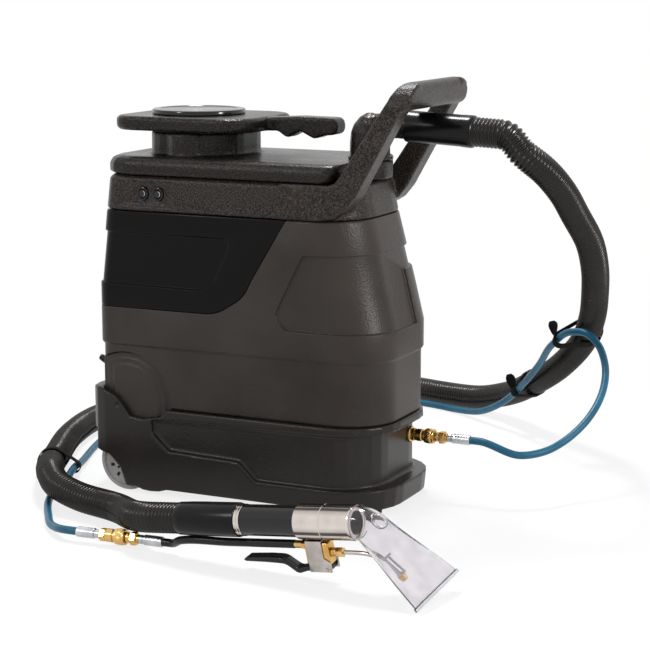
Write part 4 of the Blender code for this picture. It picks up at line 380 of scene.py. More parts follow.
nickelMetal = turnedMetal("nickelPlatedSheet", "#a8a09a", "#c6beb8", 0.2, depth=0.00003)
# the chrome tube's colour carries painted reflection bands
chromeMetal = turnedMetal("chromePlatedTube", "#d8d3cf", "#e6e1dd", 0.09, depth=0.00001, paintedReflection=True)
motorMetal = turnedMetal("bareMotorSteel", "#7c7e80", "#96989a", 0.4)
wheelPlastic = softVinyl("greyWheelPlastic", "#a3a19e", "#c4c1bd", 0.30)
palePlastic = softVinyl("paleTankFittings", "#bfc2c3", "#d3d5d6", 0.45)
clearHead = clearPlastic("clearMouldedHead")
tapeFabric = hookTape("hookAndLoopTape")
# painted shade for the wheels' pockets: near-black where the hollows would be shaded
paintedPocketShade = softVinyl("shadedWheelPocket", "#0b0b0b", "#151515", 0.6)

# camera at the photograph's angle
view = {"at": (1.2527, -2.6670, 0.8207), "towards": (0.0, 0.0, 0.273), "lens": 105.6}


def makeCamera():
    data = bpy.data.cameras.new("camera")
    data.lens = view["lens"]
    data.sensor_width = 36.0
    camera = bpy.data.objects.new("camera", data)
    bpy.context.scene.collection.objects.link(camera)
    camera.location = onMachine(*view["at"])
    camera.rotation_euler = (onMachine(*view["towards"]) - camera.location).to_track_quat("-Z",
        "Y").to_euler()
    bpy.context.scene.camera = camera


makeCamera()
print("camera")

# hoses, on the routes of the solids
tool = {"at": (0.2459, -0.4232, 0.0946), "turn": (9.15, -7.21, -5.48)}
toolMatrix = (Matrix.Translation(onMachine(*tool["at"]))
              @ Euler([math.radians(angle) for angle in tool["turn"]]).to_matrix().to_4x4())
toolAxis = toolMatrix.to_3x3() @ Vector((1, 0, 0))
grip = {"tube": 0.0885, "grip": 0.088, "band": 0.009, "cuff": 0.102}   # lengths along the hand tool
valve = {"x": -0.067, "half": 0.019, "inletZ": -0.034, "inlet": 0.019, "outletZ": -0.044, "outlet": 0.019,
         "low": -0.060, "high": -0.028}

spigot = {"mouth": (0.138, 0.0, 0.590), "droop": 2.8}   # where the elbow takes the machine's cuff
spigotAxis = Vector((math.cos(math.radians(spigot["droop"])), 0, -math.sin(math.radians(spigot["droop"]))))
spigotMouth = onMachine(*spigot["mouth"])

lineCoupler = {"at": (-0.215, -0.392, 0.0155), "turn": 2.5, "ferrule": 0.0377, "length": 0.0646}
lineMatrix = (Matrix.Translation(onMachine(*lineCoupler["at"]))
              @ Matrix.Rotation(math.radians(lineCoupler["turn"]), 4, "Z"))
lineAxis = lineMatrix.to_3x3() @ Vector((1, 0, 0))

vacuumHose = {
    "radius": 0.0225, "valley": 0.0182, "pitch": 0.0060, "clearSpan": 0.62, "farShare": 0.42,
    "cuff": 0.1075, "length": 2.7986,
    "route": ((0.3210, 0.0040, 0.5552), (0.3451, 0.0284, 0.5296), (0.3612, 0.0694, 0.4941),
              (0.3689, 0.1145, 0.4530), (0.3753, 0.1657, 0.4080), (0.3687, 0.2223, 0.3570),
              (0.3530, 0.2780, 0.3050), (0.3310, 0.3380, 0.2550), (0.2980, 0.3980, 0.2020),
              (0.2400, 0.4550, 0.1430), (0.1690, 0.5180, 0.0930), (0.0900, 0.5960, 0.0500),
              (0.0240, 0.6380, 0.0290), (-0.0710, 0.6710, 0.0228), (-0.1500, 0.6900, 0.0228),
              (-0.2500, 0.6880, 0.0228), (-0.3600, 0.6300, 0.0228), (-0.4550, 0.5250, 0.0228),
              (-0.5250, 0.3800, 0.0228), (-0.5565, 0.2070, 0.0228), (-0.5310, 0.0900, 0.0228),
              (-0.4672, -0.0598, 0.0240), (-0.4367, -0.1237, 0.0270), (-0.4069, -0.1717, 0.0340),
              (-0.3793, -0.2093, 0.0370), (-0.3371, -0.2520, 0.0350), (-0.2876, -0.2718, 0.0290),
              (-0.2236, -0.2874, 0.0265)),
}
solutionHose = {
    "radius": 0.006, "start": (0.22994, 0.0450, 0.1005), "length": 2.4190,
    "route": ((0.3060, 0.0590, 0.0815), (0.3363, 0.0900, 0.0840), (0.3520, 0.1200, 0.0915),
              (0.3794, 0.1733, 0.1232), (0.3862, 0.2294, 0.1621), (0.3726, 0.2751, 0.1966),
              (0.3518, 0.3000, 0.2201), (0.3300, 0.3100, 0.2330), (0.3040, 0.3180, 0.2320),
              (0.2570, 0.3560, 0.2000), (0.2140, 0.4160, 0.1500), (0.1690, 0.4660, 0.1020),
              (0.1430, 0.4970, 0.0770), (0.0930, 0.5350, 0.0400), (0.0530, 0.5660, 0.0200),
              (-0.0250, 0.6170, 0.0063), (-0.1000, 0.6400, 0.0063), (-0.2000, 0.6500, 0.0063),
              (-0.3100, 0.6150, 0.0063), (-0.4100, 0.5100, 0.0063), (-0.4850, 0.3650, 0.0063),
              (-0.5150, 0.2100, 0.0063), (-0.4850, 0.0950, 0.0063), (-0.4330, -0.0400, 0.0110),
              (-0.4110, -0.0960, 0.0172), (-0.4010, -0.1330, 0.0098), (-0.3920, -0.1750, 0.0063),
              (-0.3660, -0.2370, 0.0063), (-0.3175, -0.3133, 0.0063), (-0.2760, -0.3650, 0.0090)),
}
toolHose = {"radius": 0.006, "length": 0.2277,
            "route": ((-0.0418, -0.3954, 0.0250), (0.0416, -0.4010, 0.0352))}


def smoothRoute(points, startAxis, endAxis, lowest):
    route = [Vector(point) for point in points]
    gaps = [(after - before).length for before, after in zip(route, route[1:])]
    slopes = [Vector(startAxis).normalized()]
    for k in range(1, len(route) - 1):
        back = (route[k] - route[k - 1]) / gaps[k - 1]
        ahead = (route[k + 1] - route[k]) / gaps[k]
        slopes.append((back * gaps[k] + ahead * gaps[k - 1]) / (gaps[k] + gaps[k - 1]))
    slopes.append(Vector(endAxis).normalized())
    dense = []
    for k, gap in enumerate(gaps):
        for step in range(24):
            t = step / 24
            point = (2 * t ** 3 - 3 * t ** 2 + 1) * route[k] + (t ** 3 - 2 * t ** 2 + t) * gap * slopes[k]
            point += (3 * t ** 2 - 2 * t ** 3) * route[k + 1] + (t ** 3 - t ** 2) * gap * slopes[k + 1]
            dense.append(point)
    dense.append(route[-1])
    for point in dense:
        point.z = max(point.z, lowest)
    return dense


def routeLength(points):
    return sum((after - before).length for before, after in zip(points, points[1:]))


def spaced(points, count):
    step = routeLength(points) / count
    result = [points[0]]
    walked = 0.0
    for before, after in zip(points, points[1:]):
        gap = (after - before).length
        while len(result) < count and walked + gap >= step * len(result):
            result.append(before.lerp(after, (step * len(result) - walked) / gap))
        walked += gap
    result.append(points[-1])
    return result


def hoseRoute(start, end, startAxis, endAxis, route, radius):
    leaving = start + Vector(startAxis).normalized() * 2 * radius
    arriving = end - Vector(endAxis).normalized() * 2 * radius
    middle = smoothRoute([leaving, *[onMachine(*point) for point in route], arriving],
                         startAxis, endAxis, radius + clearance)
    return [start] + middle + [end]


def tubeCurve(name, points, radius, radii=None, sides=7):
    # a round tube on a line of points; sides is the bevel's resolution
    data = bpy.data.curves.new(name, "CURVE")
    data.dimensions = "3D"
    data.bevel_depth = radius
    data.bevel_resolution = sides
    data.use_fill_caps = True
    spline = data.splines.new("POLY")
    spline.points.add(len(points) - 1)
    for k, point in enumerate(points):
        spline.points[k].co = (*point, 1.0)
        spline.points[k].radius = radii[k] if radii else 1.0
    spline.use_smooth = True
    return data


def nearest(points, target):
    fine = spaced(points, 900)
    reach = 8
    best = min(range(reach, len(fine) - reach), key=lambda k: (fine[k] - target).length)
    return fine[best], (fine[best + reach] - fine[best - reach]).normalized()


def makeVacuumHose():
    back = sum(grip.values()) + 4 * clearance
    start = spigotMouth + spigotAxis * (vacuumHose["cuff"] + clearance)
    end = onMachine(*tool["at"]) - toolAxis * back
    line = hoseRoute(start, end, spigotAxis, toolAxis, vacuumHose["route"], vacuumHose["radius"])
    length = routeLength(line)
    ribs = round(length / vacuumHose["pitch"])
    points = spaced(line, ribs * 4)
    depth = 1 - vacuumHose["valley"] / vacuumHose["radius"]
    radii = []
    for k in range(len(points)):
        s = length * k / (len(points) - 1)
        nearEnd = min(s, length - s)
        share = 1.0 if nearEnd < vacuumHose["clearSpan"] else max(
            vacuumHose["farShare"], 1.0 - (nearEnd - vacuumHose["clearSpan"]) * 3)
        dip = (0.0, 0.35, 1.0, 0.35)[k % 4]
        radii.append(1 - depth * dip * share)
    curve = tubeCurve("ribbedVacuumHose", points, vacuumHose["radius"], radii, sides=9)
    hose = asPiece("ribbedVacuumHose", curve, "machine", hoseVinyl, ("vacuum_hose",))
    return hose, line


def makeSolutionHose():
    start = onMachine(*solutionHose["start"])
    end = onMachine(*lineCoupler["at"]) - lineAxis * clearance
    line = hoseRoute(start, end, (1, 0, 0), lineAxis, solutionHose["route"], solutionHose["radius"])
    curve = tubeCurve("blueSolutionHose", spaced(line, 420), solutionHose["radius"])
    hose = asPiece("blueSolutionHose", curve, "machine", blueJacket, ("solution_hose",))
    return hose, line


def makeToolHose():
    run = lineCoupler["ferrule"] + clearance + lineCoupler["length"] + lineCoupler["ferrule"] + clearance
    start = onMachine(*lineCoupler["at"]) + lineAxis * run
    end = toolMatrix @ Vector((valve["x"] - valve["half"] - valve["inlet"] - clearance, 0, valve["inletZ"]))
    line = hoseRoute(start, end, lineAxis, toolAxis, toolHose["route"], toolHose["radius"])
    curve = tubeCurve("blackToolHose", spaced(line, 80), toolHose["radius"])
    hose = asPiece("blackToolHose", curve, "machine", blackJacket, ("tool_hose",))
    return hose, line


vacuumPiece, vacuumLine = makeVacuumHose()
solutionPiece, solutionLine = makeSolutionHose()
toolPiece, toolLine = makeToolHose()
print("hoses", round(routeLength(vacuumLine), 4), round(routeLength(solutionLine), 4),
      round(routeLength(toolLine), 4))

# hook-and-loop straps round the two hoses
strap = {"width": 0.017, "thickness": 0.0014, "slack": 0.0013, "thin": 0.0074, "tail": 0.021, "twist": 75.0,
         "at": ((0.3120, 0.3750, 0.2240), (0.1690, 0.5180, 0.0930), (-0.4470, -0.1000, 0.0270)),
         "tailSide": (1, 1, 0)}


def arcPoints(centre, radius, start, sweep, steps):
    return [(centre + radius * math.cos(start + sweep * k / steps),
             radius * math.sin(start + sweep * k / steps))
            for k in range(steps + 1)]


def makeStrap(number, target, tailSide):
    vacuumAt, ahead = nearest(vacuumLine, onMachine(*target))
    solutionAt, solutionAhead = nearest(solutionLine, vacuumAt)
    across = solutionAt - vacuumAt
    across = across - ahead * across.dot(ahead)
    gap = across.length
    across.normalize()
    slant = strap["width"] / 2 * math.tan(ahead.angle(solutionAhead))
    thick = vacuumHose["radius"] + strap["slack"]
    thin = strap["thin"] + 1.5 * slant
    lean = math.acos((thick - thin) / gap)
    ring = arcPoints(0.0, thick, lean, 2 * math.pi - 2 * lean, 40)
    ring += arcPoints(gap, thin, -lean, 2 * lean, 16)
    turn = Matrix((across, ahead.cross(across), ahead)).transposed().to_4x4()
    bm = bmesh.new()
    row = [bm.verts.new((a, b, -strap["width"] / 2)) for a, b in ring]
    for k, vert in enumerate(row):
        bm.edges.new((vert, row[(k + 1) % len(row)]))
    # the free end of the tape leaves the ring near the thin hose; a strap on side 0 has none
    outward = Vector((-0.2, tailSide, 0)).normalized()
    steps, last, spine = (7 if tailSide else 0), row[-2], []
    for k in range(1, steps + 1):
        bend = outward * (strap["tail"] * k / steps) + Vector((0, tailSide * 0.005 * (k / steps) ** 2, 0))
        spine.append(bm.verts.new(row[-2].co + bend))
        bm.edges.new((last, spine[-1]))
        last = spine[-1]
    swept = bmesh.ops.extrude_edge_only(bm, edges=bm.edges[:])
    lifted = [item for item in swept["geom"] if isinstance(item, bmesh.types.BMVert)]
    bmesh.ops.translate(bm, vec=(0, 0, strap["width"]), verts=lifted)
    for k, vert in enumerate(spine, 1):
        # the free end turns on its own line and narrows to a round tip
        pair = [vert] + [other for other in lifted
                         if (other.co - vert.co - Vector((0, 0, strap["width"]))).length < 1e-6]
        middle = vert.co + Vector((0, 0, strap["width"] / 2))
        narrow = 1.0 if k < steps - 1 else (0.86 if k == steps - 1 else 0.5)
        for other in pair:
            other.co = middle + (other.co - middle) * narrow
        bmesh.ops.rotate(bm, cent=middle,
                         matrix=Matrix.Rotation(math.radians(strap["twist"] * k / steps), 3, outward),
                         verts=pair)
    data = meshOf(bm, "strap", Matrix.Translation(vacuumAt) @ turn)
    data = baked(data, ("SOLIDIFY", {"thickness": strap["thickness"], "offset": 0.0}),
                 ("BEVEL", {"width": 0.0003, "segments": 2}))
    return asPiece(f"hookLoopStrap{number}", data, "machine", tapeFabric,
                   (f"hose_strap_{number}",))


straps = [makeStrap(number, target, side)
          for number, (target, side) in enumerate(zip(strap["at"], strap["tailSide"]), 1)]
print("straps")

# couplers and ferrules of the solution line
coupler = {"y": 0.045, "z": 0.1005, "face": 0.1273, "bore": 0.003}


def hexagon(radius, height, matrix):
    bm = bmesh.new()
    bmesh.ops.create_cone(bm, cap_ends=True, segments=6, radius1=radius, radius2=radius, depth=height)
    bmesh.ops.bevel(bm, geom=[edge for edge in bm.edges if len(edge.link_faces) == 2
                              and edge.link_faces[0].normal.angle(edge.link_faces[1].normal) > 1.2],
                    affect="EDGES", offset=0.0007, segments=2, profile=0.5, material=-1)
    return meshOf(bm, "hexagon", matrix)


def knurled(radius, height, matrix, teeth=36, depth=0.0004):
    bm = bmesh.new()
    bmesh.ops.create_cone(bm, cap_ends=True, segments=teeth * 2, radius1=radius, radius2=radius,
                          depth=height)
    for vert in bm.verts:
        angle = math.atan2(vert.co.y, vert.co.x) * teeth * 2 / (2 * math.pi)
        if round(angle) % 2:
            vert.co.x *= 1 - depth / radius
            vert.co.y *= 1 - depth / radius
    caps = [edge for edge in bm.edges if any(len(face.verts) > 4 for face in edge.link_faces)]
    bmesh.ops.bevel(bm, geom=caps, affect="EDGES", offset=0.0006, segments=2, profile=0.5, material=-1)
    return meshOf(bm, "knurled", matrix)


def makeCoupler(prefix, matrix, flanged, sleeveBody):
    # socket, sliding sleeve and plug of a quick coupler, along local Z of the matrix
    top = 0.022
    if flanged:
        profile = [(coupler["bore"], -0.024), (0.0088, -0.024), (0.0088, 0.0), (0.0126, 0.0),
                   (0.0130, 0.0006),
                   (0.0130, 0.0032), (0.0124, 0.0040), (0.0098, 0.0042), (0.0098, 0.0095), (0.0090, 0.0100),
                   (0.0090, 0.0130), (0.0099, 0.0135), (0.0099, top - 0.0008), (0.0094, top)]
    else:
        profile = [(coupler["bore"], 0.0), (0.0080, 0.0), (0.0084, 0.0006), (0.0084, 0.0110),
                   (0.0098, 0.0120),
                   (0.0099, top - 0.0008), (0.0094, top)]
    profile += [(0.0080, top), (0.0080, top + 0.0215), (coupler["bore"], top + 0.0215)]
    body = lathe(profile, 40)
    if not flanged:
        body = merged(body, hexagon(0.0099, 0.0085, Matrix.Translation((0, 0, 0.0055))))
    body.transform(matrix)
    socket = asPiece(f"{prefix}Socket", body, "machine", brassMetal, (f"{prefix}_socket",), 25)
    low = top + 0.0043
    ring = merged(knurled(0.0119, 0.0105, Matrix.Translation((0, 0, low + 0.0078))),
                  lathe([(0.0084, low), (0.0108, low), (0.0113, low + 0.0006), (0.0113, low + 0.0155),
                         (0.0108, low + 0.0160), (0.0084, low + 0.0160)], 40))
    ring.transform(matrix)
    sleeve = asPiece(f"{prefix}Sleeve", ring, sleeveBody, brassMetal, (f"{prefix}_sleeve",), 25)
    foot = top + 0.0223
    neck = lathe([(coupler["bore"], foot), (0.0074, foot), (0.0078, foot + 0.0005), (0.0078, foot + 0.004),
                  (0.0070, foot + 0.0050), (0.0070, foot + 0.0068), (0.0086, foot + 0.0070),
                  (0.0086, foot + 0.0165), (0.0065, foot + 0.0170), (0.0065, foot + 0.020),
                  (coupler["bore"], foot + 0.020)], 40)
    nut = hexagon(0.0103, 0.0085, Matrix.Translation((0, 0, foot + 0.0112)))
    both = merged(neck, nut)
    both.transform(matrix)
    plug = asPiece(f"{prefix}Plug", both, "machine", brassMetal, (f"{prefix}_plug",), 25)
    return socket, sleeve, plug


def makeFerrule(name, node, matrix):
    # crimped ferrule: a shoulder, grip grooves and a skirt pressed on to the hose
    long = lineCoupler["ferrule"]
    profile = [(coupler["bore"], 0.0), (0.0062, 0.0), (0.0066, 0.0006), (0.0066, 0.0060), (0.0058, 0.0064),
               (0.0058, 0.0080), (0.0074, 0.0086), (0.0078, 0.0094), (0.0078, 0.0120), (0.0073, 0.0125),
               (0.0073, 0.0140), (0.0078, 0.0146), (0.0078, 0.0170), (0.0074, 0.0176), (0.0074, 0.0190),
               (0.0078, 0.0196), (0.0078, long - 0.0012), (0.0072, long), (coupler["bore"], long)]
    return asPiece(name, lathe(profile, 40, matrix), "machine", zincMetal, (node,), 25)


turnX = Matrix.Rotation(math.radians(90), 4, "Y")
portMatrix = Matrix.Translation(onMachine(coupler["face"], coupler["y"], coupler["z"])) @ turnX
portPieces = makeCoupler("machine_coupler", portMatrix, True, "machine_sleeve")
portFerrule = makeFerrule("portFerrule", "machine_hose_ferrule",
                          portMatrix @ Matrix.Translation((0, 0, 0.022 + 0.0223 + 0.0203)))
lineFerrule = makeFerrule("lineFerrule", "solution_hose_ferrule",
                          lineMatrix @ turnX @ Matrix.Translation((0, 0,
                              lineCoupler["ferrule"])) @ Matrix.Rotation(math.pi, 4, "X"))
linePieces = makeCoupler("tool_coupler", lineMatrix @ turnX @ Matrix.Translation((0, 0, 0.0380)), False,
                         "tool_sleeve")
toolFerrule = makeFerrule("toolFerrule", "tool_hose_ferrule",
                          lineMatrix @ turnX @ Matrix.Translation((0, 0, 0.1026)))
print("couplers")

# cuffs on the vacuum hose


def makeMachineCuff():
    # soft rubber cuff, its mouth rolled and its hose end thickened
    long = vacuumHose["cuff"]
    profile = [(0.0166, 0.0003), (0.0232, 0.0003), (0.0241, 0.0010), (0.0243, 0.0030), (0.0240, 0.0060),
               (0.0237, 0.0300), (0.0238, long - 0.0200), (0.0243, long - 0.0150), (0.0245, long - 0.0060),
               (0.0244, long - 0.0015), (0.0236, long), (0.0166, long)]
    data = lathe(profile, 64, along(spigotMouth, spigotAxis))
    return asPiece("machineCuff", data, "machine", cuffRubber, ("vacuum_cuff",))


machineCuff = makeMachineCuff()

toolX = toolMatrix @ turnX


def makeToolCuff():
    high = -grip["tube"] - grip["grip"] - grip["band"] - 3 * clearance
    low = high - grip["cuff"]
    profile = [(0.0166, low), (0.0226, low), (0.0234, low + 0.0012), (0.0236, low + 0.0100),
               (0.0241, low + 0.0200), (0.0243, low + 0.0400), (0.0243, high - 0.0020),
               (0.0239, high - 0.0004), (0.0232, high), (0.0166, high)]
    return asPiece("toolCuff", lathe(profile, 64, toolX), "machine", cuffRubber,
                   ("tool_cuff",))


toolCuff = makeToolCuff()
print("cuffs")

# body: solution tank and front panel
shell = {"left": -0.345, "right": 0.145, "half": 0.1225, "low": 0.1403, "high": 0.4517,
         "leftCorner": 0.026, "rightCorner": 0.083, "belt": (0.2365, 0.2405), "beltStep": 0.004,
         "endLeanFrom": 0.2830, "sideLeanFrom": 0.3400, "leftLean": 0.107, "rightLean": 0.249,
         "sideLean": 0.027,
         "wall": 0.0108, "panelThickness": 0.006, "recess": 0.005, "dish": 0.0035}


def outwards(point):
    # level direction away from the nearest corner's centre or side of the shell
    leftAt = shell["left"] + shell["leftCorner"]
    rightAt = shell["right"] - shell["rightCorner"]
    corner = shell["rightCorner"] if point.x > 0 else shell["leftCorner"]
    side = shell["half"] - corner
    held = Vector((min(max(point.x, leftAt), rightAt), min(max(point.y, -side), side), point.z))
    away = point - held
    return away.normalized() if away.length > 0.0001 else Vector((0, 0, 0))


def shellBlock(inset, low, high, rim=0.0, stepped=False):
    # the body's own round-cornered, leaning block, drawn in by inset and cut off at two heights
    bm = bmesh.new()
    bmesh.ops.create_cube(bm, size=1)
    bmesh.ops.scale(bm, vec=(shell["right"] - shell["left"], 2 * shell["half"], high - low), verts=bm.verts)
    bmesh.ops.translate(bm, vec=((shell["right"] + shell["left"]) / 2, 0, (high + low) / 2), verts=bm.verts)
    for sign, corner in ((-1, shell["leftCorner"]), (1, shell["rightCorner"])):
        edges = [edge for edge in bm.edges if abs(edge.verts[0].co.z - edge.verts[1].co.z) > 0.01
                 and edge.verts[0].co.x * sign > abs((shell["right"] + shell["left"]) / 2) - 0.02
                 and (edge.verts[0].co.x - (shell["right"] + shell["left"]) / 2) * sign > 0.2]
        bmesh.ops.bevel(bm, geom=edges, affect="EDGES", offset=corner, segments=14, profile=0.5, material=-1)
    heights = [shell["endLeanFrom"], shell["sideLeanFrom"]] + (list(shell["belt"]) if stepped else [])
    for height in heights:
        if low + 0.001 < height < high - 0.001:
            bmesh.ops.bisect_plane(bm, geom=bm.verts[:] + bm.edges[:] + bm.faces[:], dist=0.00001,
                                   plane_co=(0, 0, height), plane_no=(0, 0, 1))
    for vert in bm.verts:
        amount = -inset - (shell["beltStep"] if stepped and vert.co.z < shell["belt"][0] + 0.001 else 0.0)
        shift = outwards(vert.co) * amount
        over = max(0.0, vert.co.z - shell["sideLeanFrom"])
        shift.y -= math.copysign(shell["sideLean"] * over, vert.co.y)
        if vert.co.x > 0:
            shift.x -= shell["rightLean"] * max(0.0, vert.co.z - shell["endLeanFrom"])
        else:
            shift.x += shell["leftLean"] * over
        vert.co += shift
    if rim:
        edges = [edge for edge in bm.edges if all(abs(vert.co.z - low) < 0.0001 for vert in edge.verts)
                 or all(abs(vert.co.z - high) < 0.0001 for vert in edge.verts)]
        bmesh.ops.bevel(bm, geom=edges, affect="EDGES", offset=rim, segments=3, profile=0.5, material=-1)
    return meshOf(bm, "shellBlock")


def wideSlab(outline, low=-0.2, high=0.2):
    return rounded(outline, high - low, upright(low))


def frontSeam(shift):
    left, top, drop = shell["left"], shell["high"], 0.1527
    return wideSlab([
        (left - 0.2, top + 0.2, 0), (left - 0.2, top - drop - shift, 0),
        (left + 0.215 + shift, top - drop - shift, 0.06),
        (left + 0.264 + shift, top - drop + 0.030 - shift, 0.06),
        (left + 0.278 + shift, top - 0.0947, 0.02), (left + 0.335 + shift, top, 0),
        (left + 0.335 + shift, top + 0.2, 0)])


hood = {"x": -0.295, "z": 0.145, "radius": 0.081, "half": 0.1125, "step": 0.010, "proud": 0.002,
        "face": -0.338, "foot": 0.100}


def hoodRound(radius, low, high, steps=96):
    middle = Matrix.Translation((hood["x"], 0, hood["z"])) @ Matrix.Rotation(math.radians(-90), 4, "X")
    return lathe([(0, high), (radius, high), (radius, low), (0, low)], steps, middle)


def makeSolutionTank():
    left, top = shell["left"], shell["high"]
    tank = shellBlock(0.0, shell["low"], top, rim=0.003, stepped=True)
    panelBed = carved(frontSeam(clearance), [shellBlock(shell["panelThickness"] + clearance, 0.25, 0.50)])
    recess = wideSlab([(left + 0.364, top - 0.0517, 0.010), (left + 0.317, top - 0.1457, 0.010),
                       (left + 0.333, top - 0.1687, 0.014), (shell["right"] + 0.2, top - 0.1687, 0),
                       (shell["right"] + 0.2, top - 0.0517, 0)])
    keptPad = block(0.060, 0.345, 0.030, 0.2, top - 0.19, top - 0.085)
    recess = carved(recess, [shellBlock(shell["recess"], 0.25, top + 0.001), keptPad])
    cavity = shellBlock(shell["wall"], shell["low"] + 0.006, top + 0.02)
    cavity = carved(cavity, [hoodRound(hood["radius"] + 0.0053, -0.3, 0.3)])
    duct = lathe([(0, 0.34), (0.016, 0.34), (0.016, 0.185), (0, 0.185)], 32,
                 Matrix.Translation((left + 0.090, 0, 0)))
    tank = carved(tank, [panelBed, recess, hoodRound(hood["radius"] + clearance, -0.3, 0.3), cavity, duct])
    tank = softEdges(tank, 0.0016)
    tank.transform(Matrix.Translation(machineAt))
    return asPiece("solutionTank", tank, "machine", bodyPlastic, ("solution_tank",), 40)


def makeFrontPanel():
    left, top = shell["left"], shell["high"]
    bottom = top - 0.1527
    panel = carved(shellBlock(0.0, bottom - 0.004, top, rim=0.0), [frontSeam(0.0)], "INTERSECT")
    dish = wideSlab([(left - 0.2, top - 0.0337, 0), (left + 0.244, top - 0.0337, 0.012),
                     (left + 0.213, top - 0.1027, 0.016), (left + 0.184, top - 0.1167, 0.014),
                     (left - 0.2, top - 0.1127, 0)])
    dish = carved(dish, [shellBlock(shell["dish"], 0.25, top + 0.05)])
    panel = carved(panel, [shellBlock(shell["panelThickness"], 0.25, top + 0.05), dish])
    panel = softEdges(panel, 0.0022)
    panel.transform(Matrix.Translation(machineAt))
    return asPiece("frontPanel", panel, "machine", panelGloss, ("front_panel",), 40)


makeSolutionTank()
makeFrontPanel()
print("body")

# soft-edged mouldings taken from their solids
asPiece("baseHousing", softened("base_housing", 0.0022, 5, 0.55), "machine", basePlastic,
        ("base_housing",), 60)
asPiece("handleFrame", softened("handle_frame", 0.0018, 18, 0.6), "machine", handlePlastic,
        ("handle_frame",), 60)
asPiece("recoveryTank", softened("recovery_tank", 0.0022, 9, 0.5), "recovery_tank", deckPlastic,
        ("recovery_tank",), 60)
asPiece("tankLid", softened("tank_lid", 0.0018, 16, 0.6), "lid", deckPlastic,
        ("tank_lid",), 60)
asPiece("inletElbow", softened("inlet_elbow", 0.0011, 9, 0.6), "recovery_tank", deckPlastic,
        ("inlet_elbow",), 60)
print("mouldings")


def makeHood():
    parts = []
    for step in range(3):
        half = hood["half"] + step * hood["proud"]
        data = hoodRound(hood["radius"] - step * hood["step"], -half, half, 128)
        cutLeft = block(-0.6, hood["face"] + step * hood["step"], -0.3, 0.3, 0, 0.4)
        cutLow = block(-0.6, 0.0, -0.3, 0.3, -0.1, hood["foot"])
        parts.append(carved(data, [cutLeft, cutLow]))
    whole = baked(merged(*parts), ("REMESH", {"mode": "VOXEL", "voxel_size": 0.0017}),
                  ("SMOOTH", {"factor": 0.5, "iterations": 9}), ("DECIMATE", {"ratio": 0.5}))
    whole.transform(Matrix.Translation(machineAt))
    return asPiece("motorHood", whole, "machine", bodyPlastic, ("motor_hood",), 60)


makeHood()


relief = {"x": -0.338, "y": -0.088, "z": 0.200, "rise": 20.0, "length": 0.0222, "wide": 0.0078,
          "thin": 0.0050}


def makeStrainRelief():
    # ribbed rubber sleeve where the cord would leave, its mouth bare
    rise = math.radians(relief["rise"])
    turn = Matrix.Rotation(math.pi, 4, "Z") @ Matrix.Rotation(math.pi / 2, 4, "Y")
    base = Matrix.Translation(onMachine(relief["x"], relief["y"], relief["z"])) @ turn
    plug = lathe([(0, -0.012), (0.0080, -0.012), (0.0080, 0.0003), (0.0098, 0.0003), (0.0098, 0.0030),
                  (0.0090, 0.0040), (0, 0.0040)], 40, base)
    long, steps = relief["length"], 7
    profile = [(0, 0.0030), (relief["wide"], 0.0030)]
    for k in range(steps):
        z = 0.0050 + (long - 0.0070) * k / steps
        pitch = (long - 0.0070) / steps
        r = relief["wide"] + (relief["thin"] - relief["wide"]) * k / steps
        profile += [(r, z), (r, z + pitch * 0.55), (r - 0.0007, z + pitch * 0.65),
                    (r - 0.0007, z + pitch * 0.95)]
    profile += [(relief["thin"], long - 0.0010), (relief["thin"] - 0.0006, long), (0.0036, long),
                (0.0034, long - 0.004), (0, long - 0.004)]
    tilted = along(onMachine(relief["x"], relief["y"], relief["z"]), (-math.cos(rise), 0, math.sin(rise)))
    data = merged(plug, lathe(profile, 40, tilted))
    return asPiece("strainRelief", data, "machine", cuffRubber, ("cord_gland",), 40)


makeStrainRelief()
print("hood")

# wheels and feet
wheel = {"x": -0.297, "z": 0.047, "radius": 0.047, "width": 0.030, "inner": 0.0880}


def makeWheel(side, body, node):
    r, w = wheel["radius"], wheel["width"]
    disc = [(0.0062, 0.0), (0.0300, 0.0), (r - 0.0050, 0.0), (r - 0.0012, 0.0012), (r, 0.0040),
            (r, w - 0.0040),
            (r - 0.0012, w - 0.0012), (r - 0.0045, w), (r - 0.0065, w - 0.0006), (r - 0.0080, w - 0.0040),
            (r - 0.0110, w - 0.0048), (0.0160, w - 0.0044), (0.0150, w - 0.0030), (0.0120, w - 0.0012),
            (0.0100, w - 0.0008), (0.0062, w - 0.0008)]
    matrix = along(onMachine(wheel["x"], side * wheel["inner"], wheel["z"]), (0, side, 0))
    rim = lathe(disc, 72, matrix)
    piece = asPiece(f"{body}Rim", rim, body, wheelPlastic, (node,), 40)
    # the pockets are flat dark blocks on the wheel's face, standing just proud of it: painted shade, not
    # hollows
    pockets = []
    for count, at, size in ((10, 0.0200, (0.0030, 0.0042)), (10, 0.0290, (0.0036, 0.0048))):
        for k in range(count):
            spoke = matrix @ Matrix.Rotation(2 * math.pi * (k + 0.5 * (at > 0.025)) / count, 4, "Z")
            pockets.append(block(at - size[0], at + size[0], -size[1] / 2, size[1] / 2, w - 0.0060,
                                 w - 0.0042,
                                 spoke, 0.0004, 1))
    pocketShade = asPiece(f"{body}PocketShade", merged(*pockets), body, paintedPocketShade)
    return piece, pocketShade


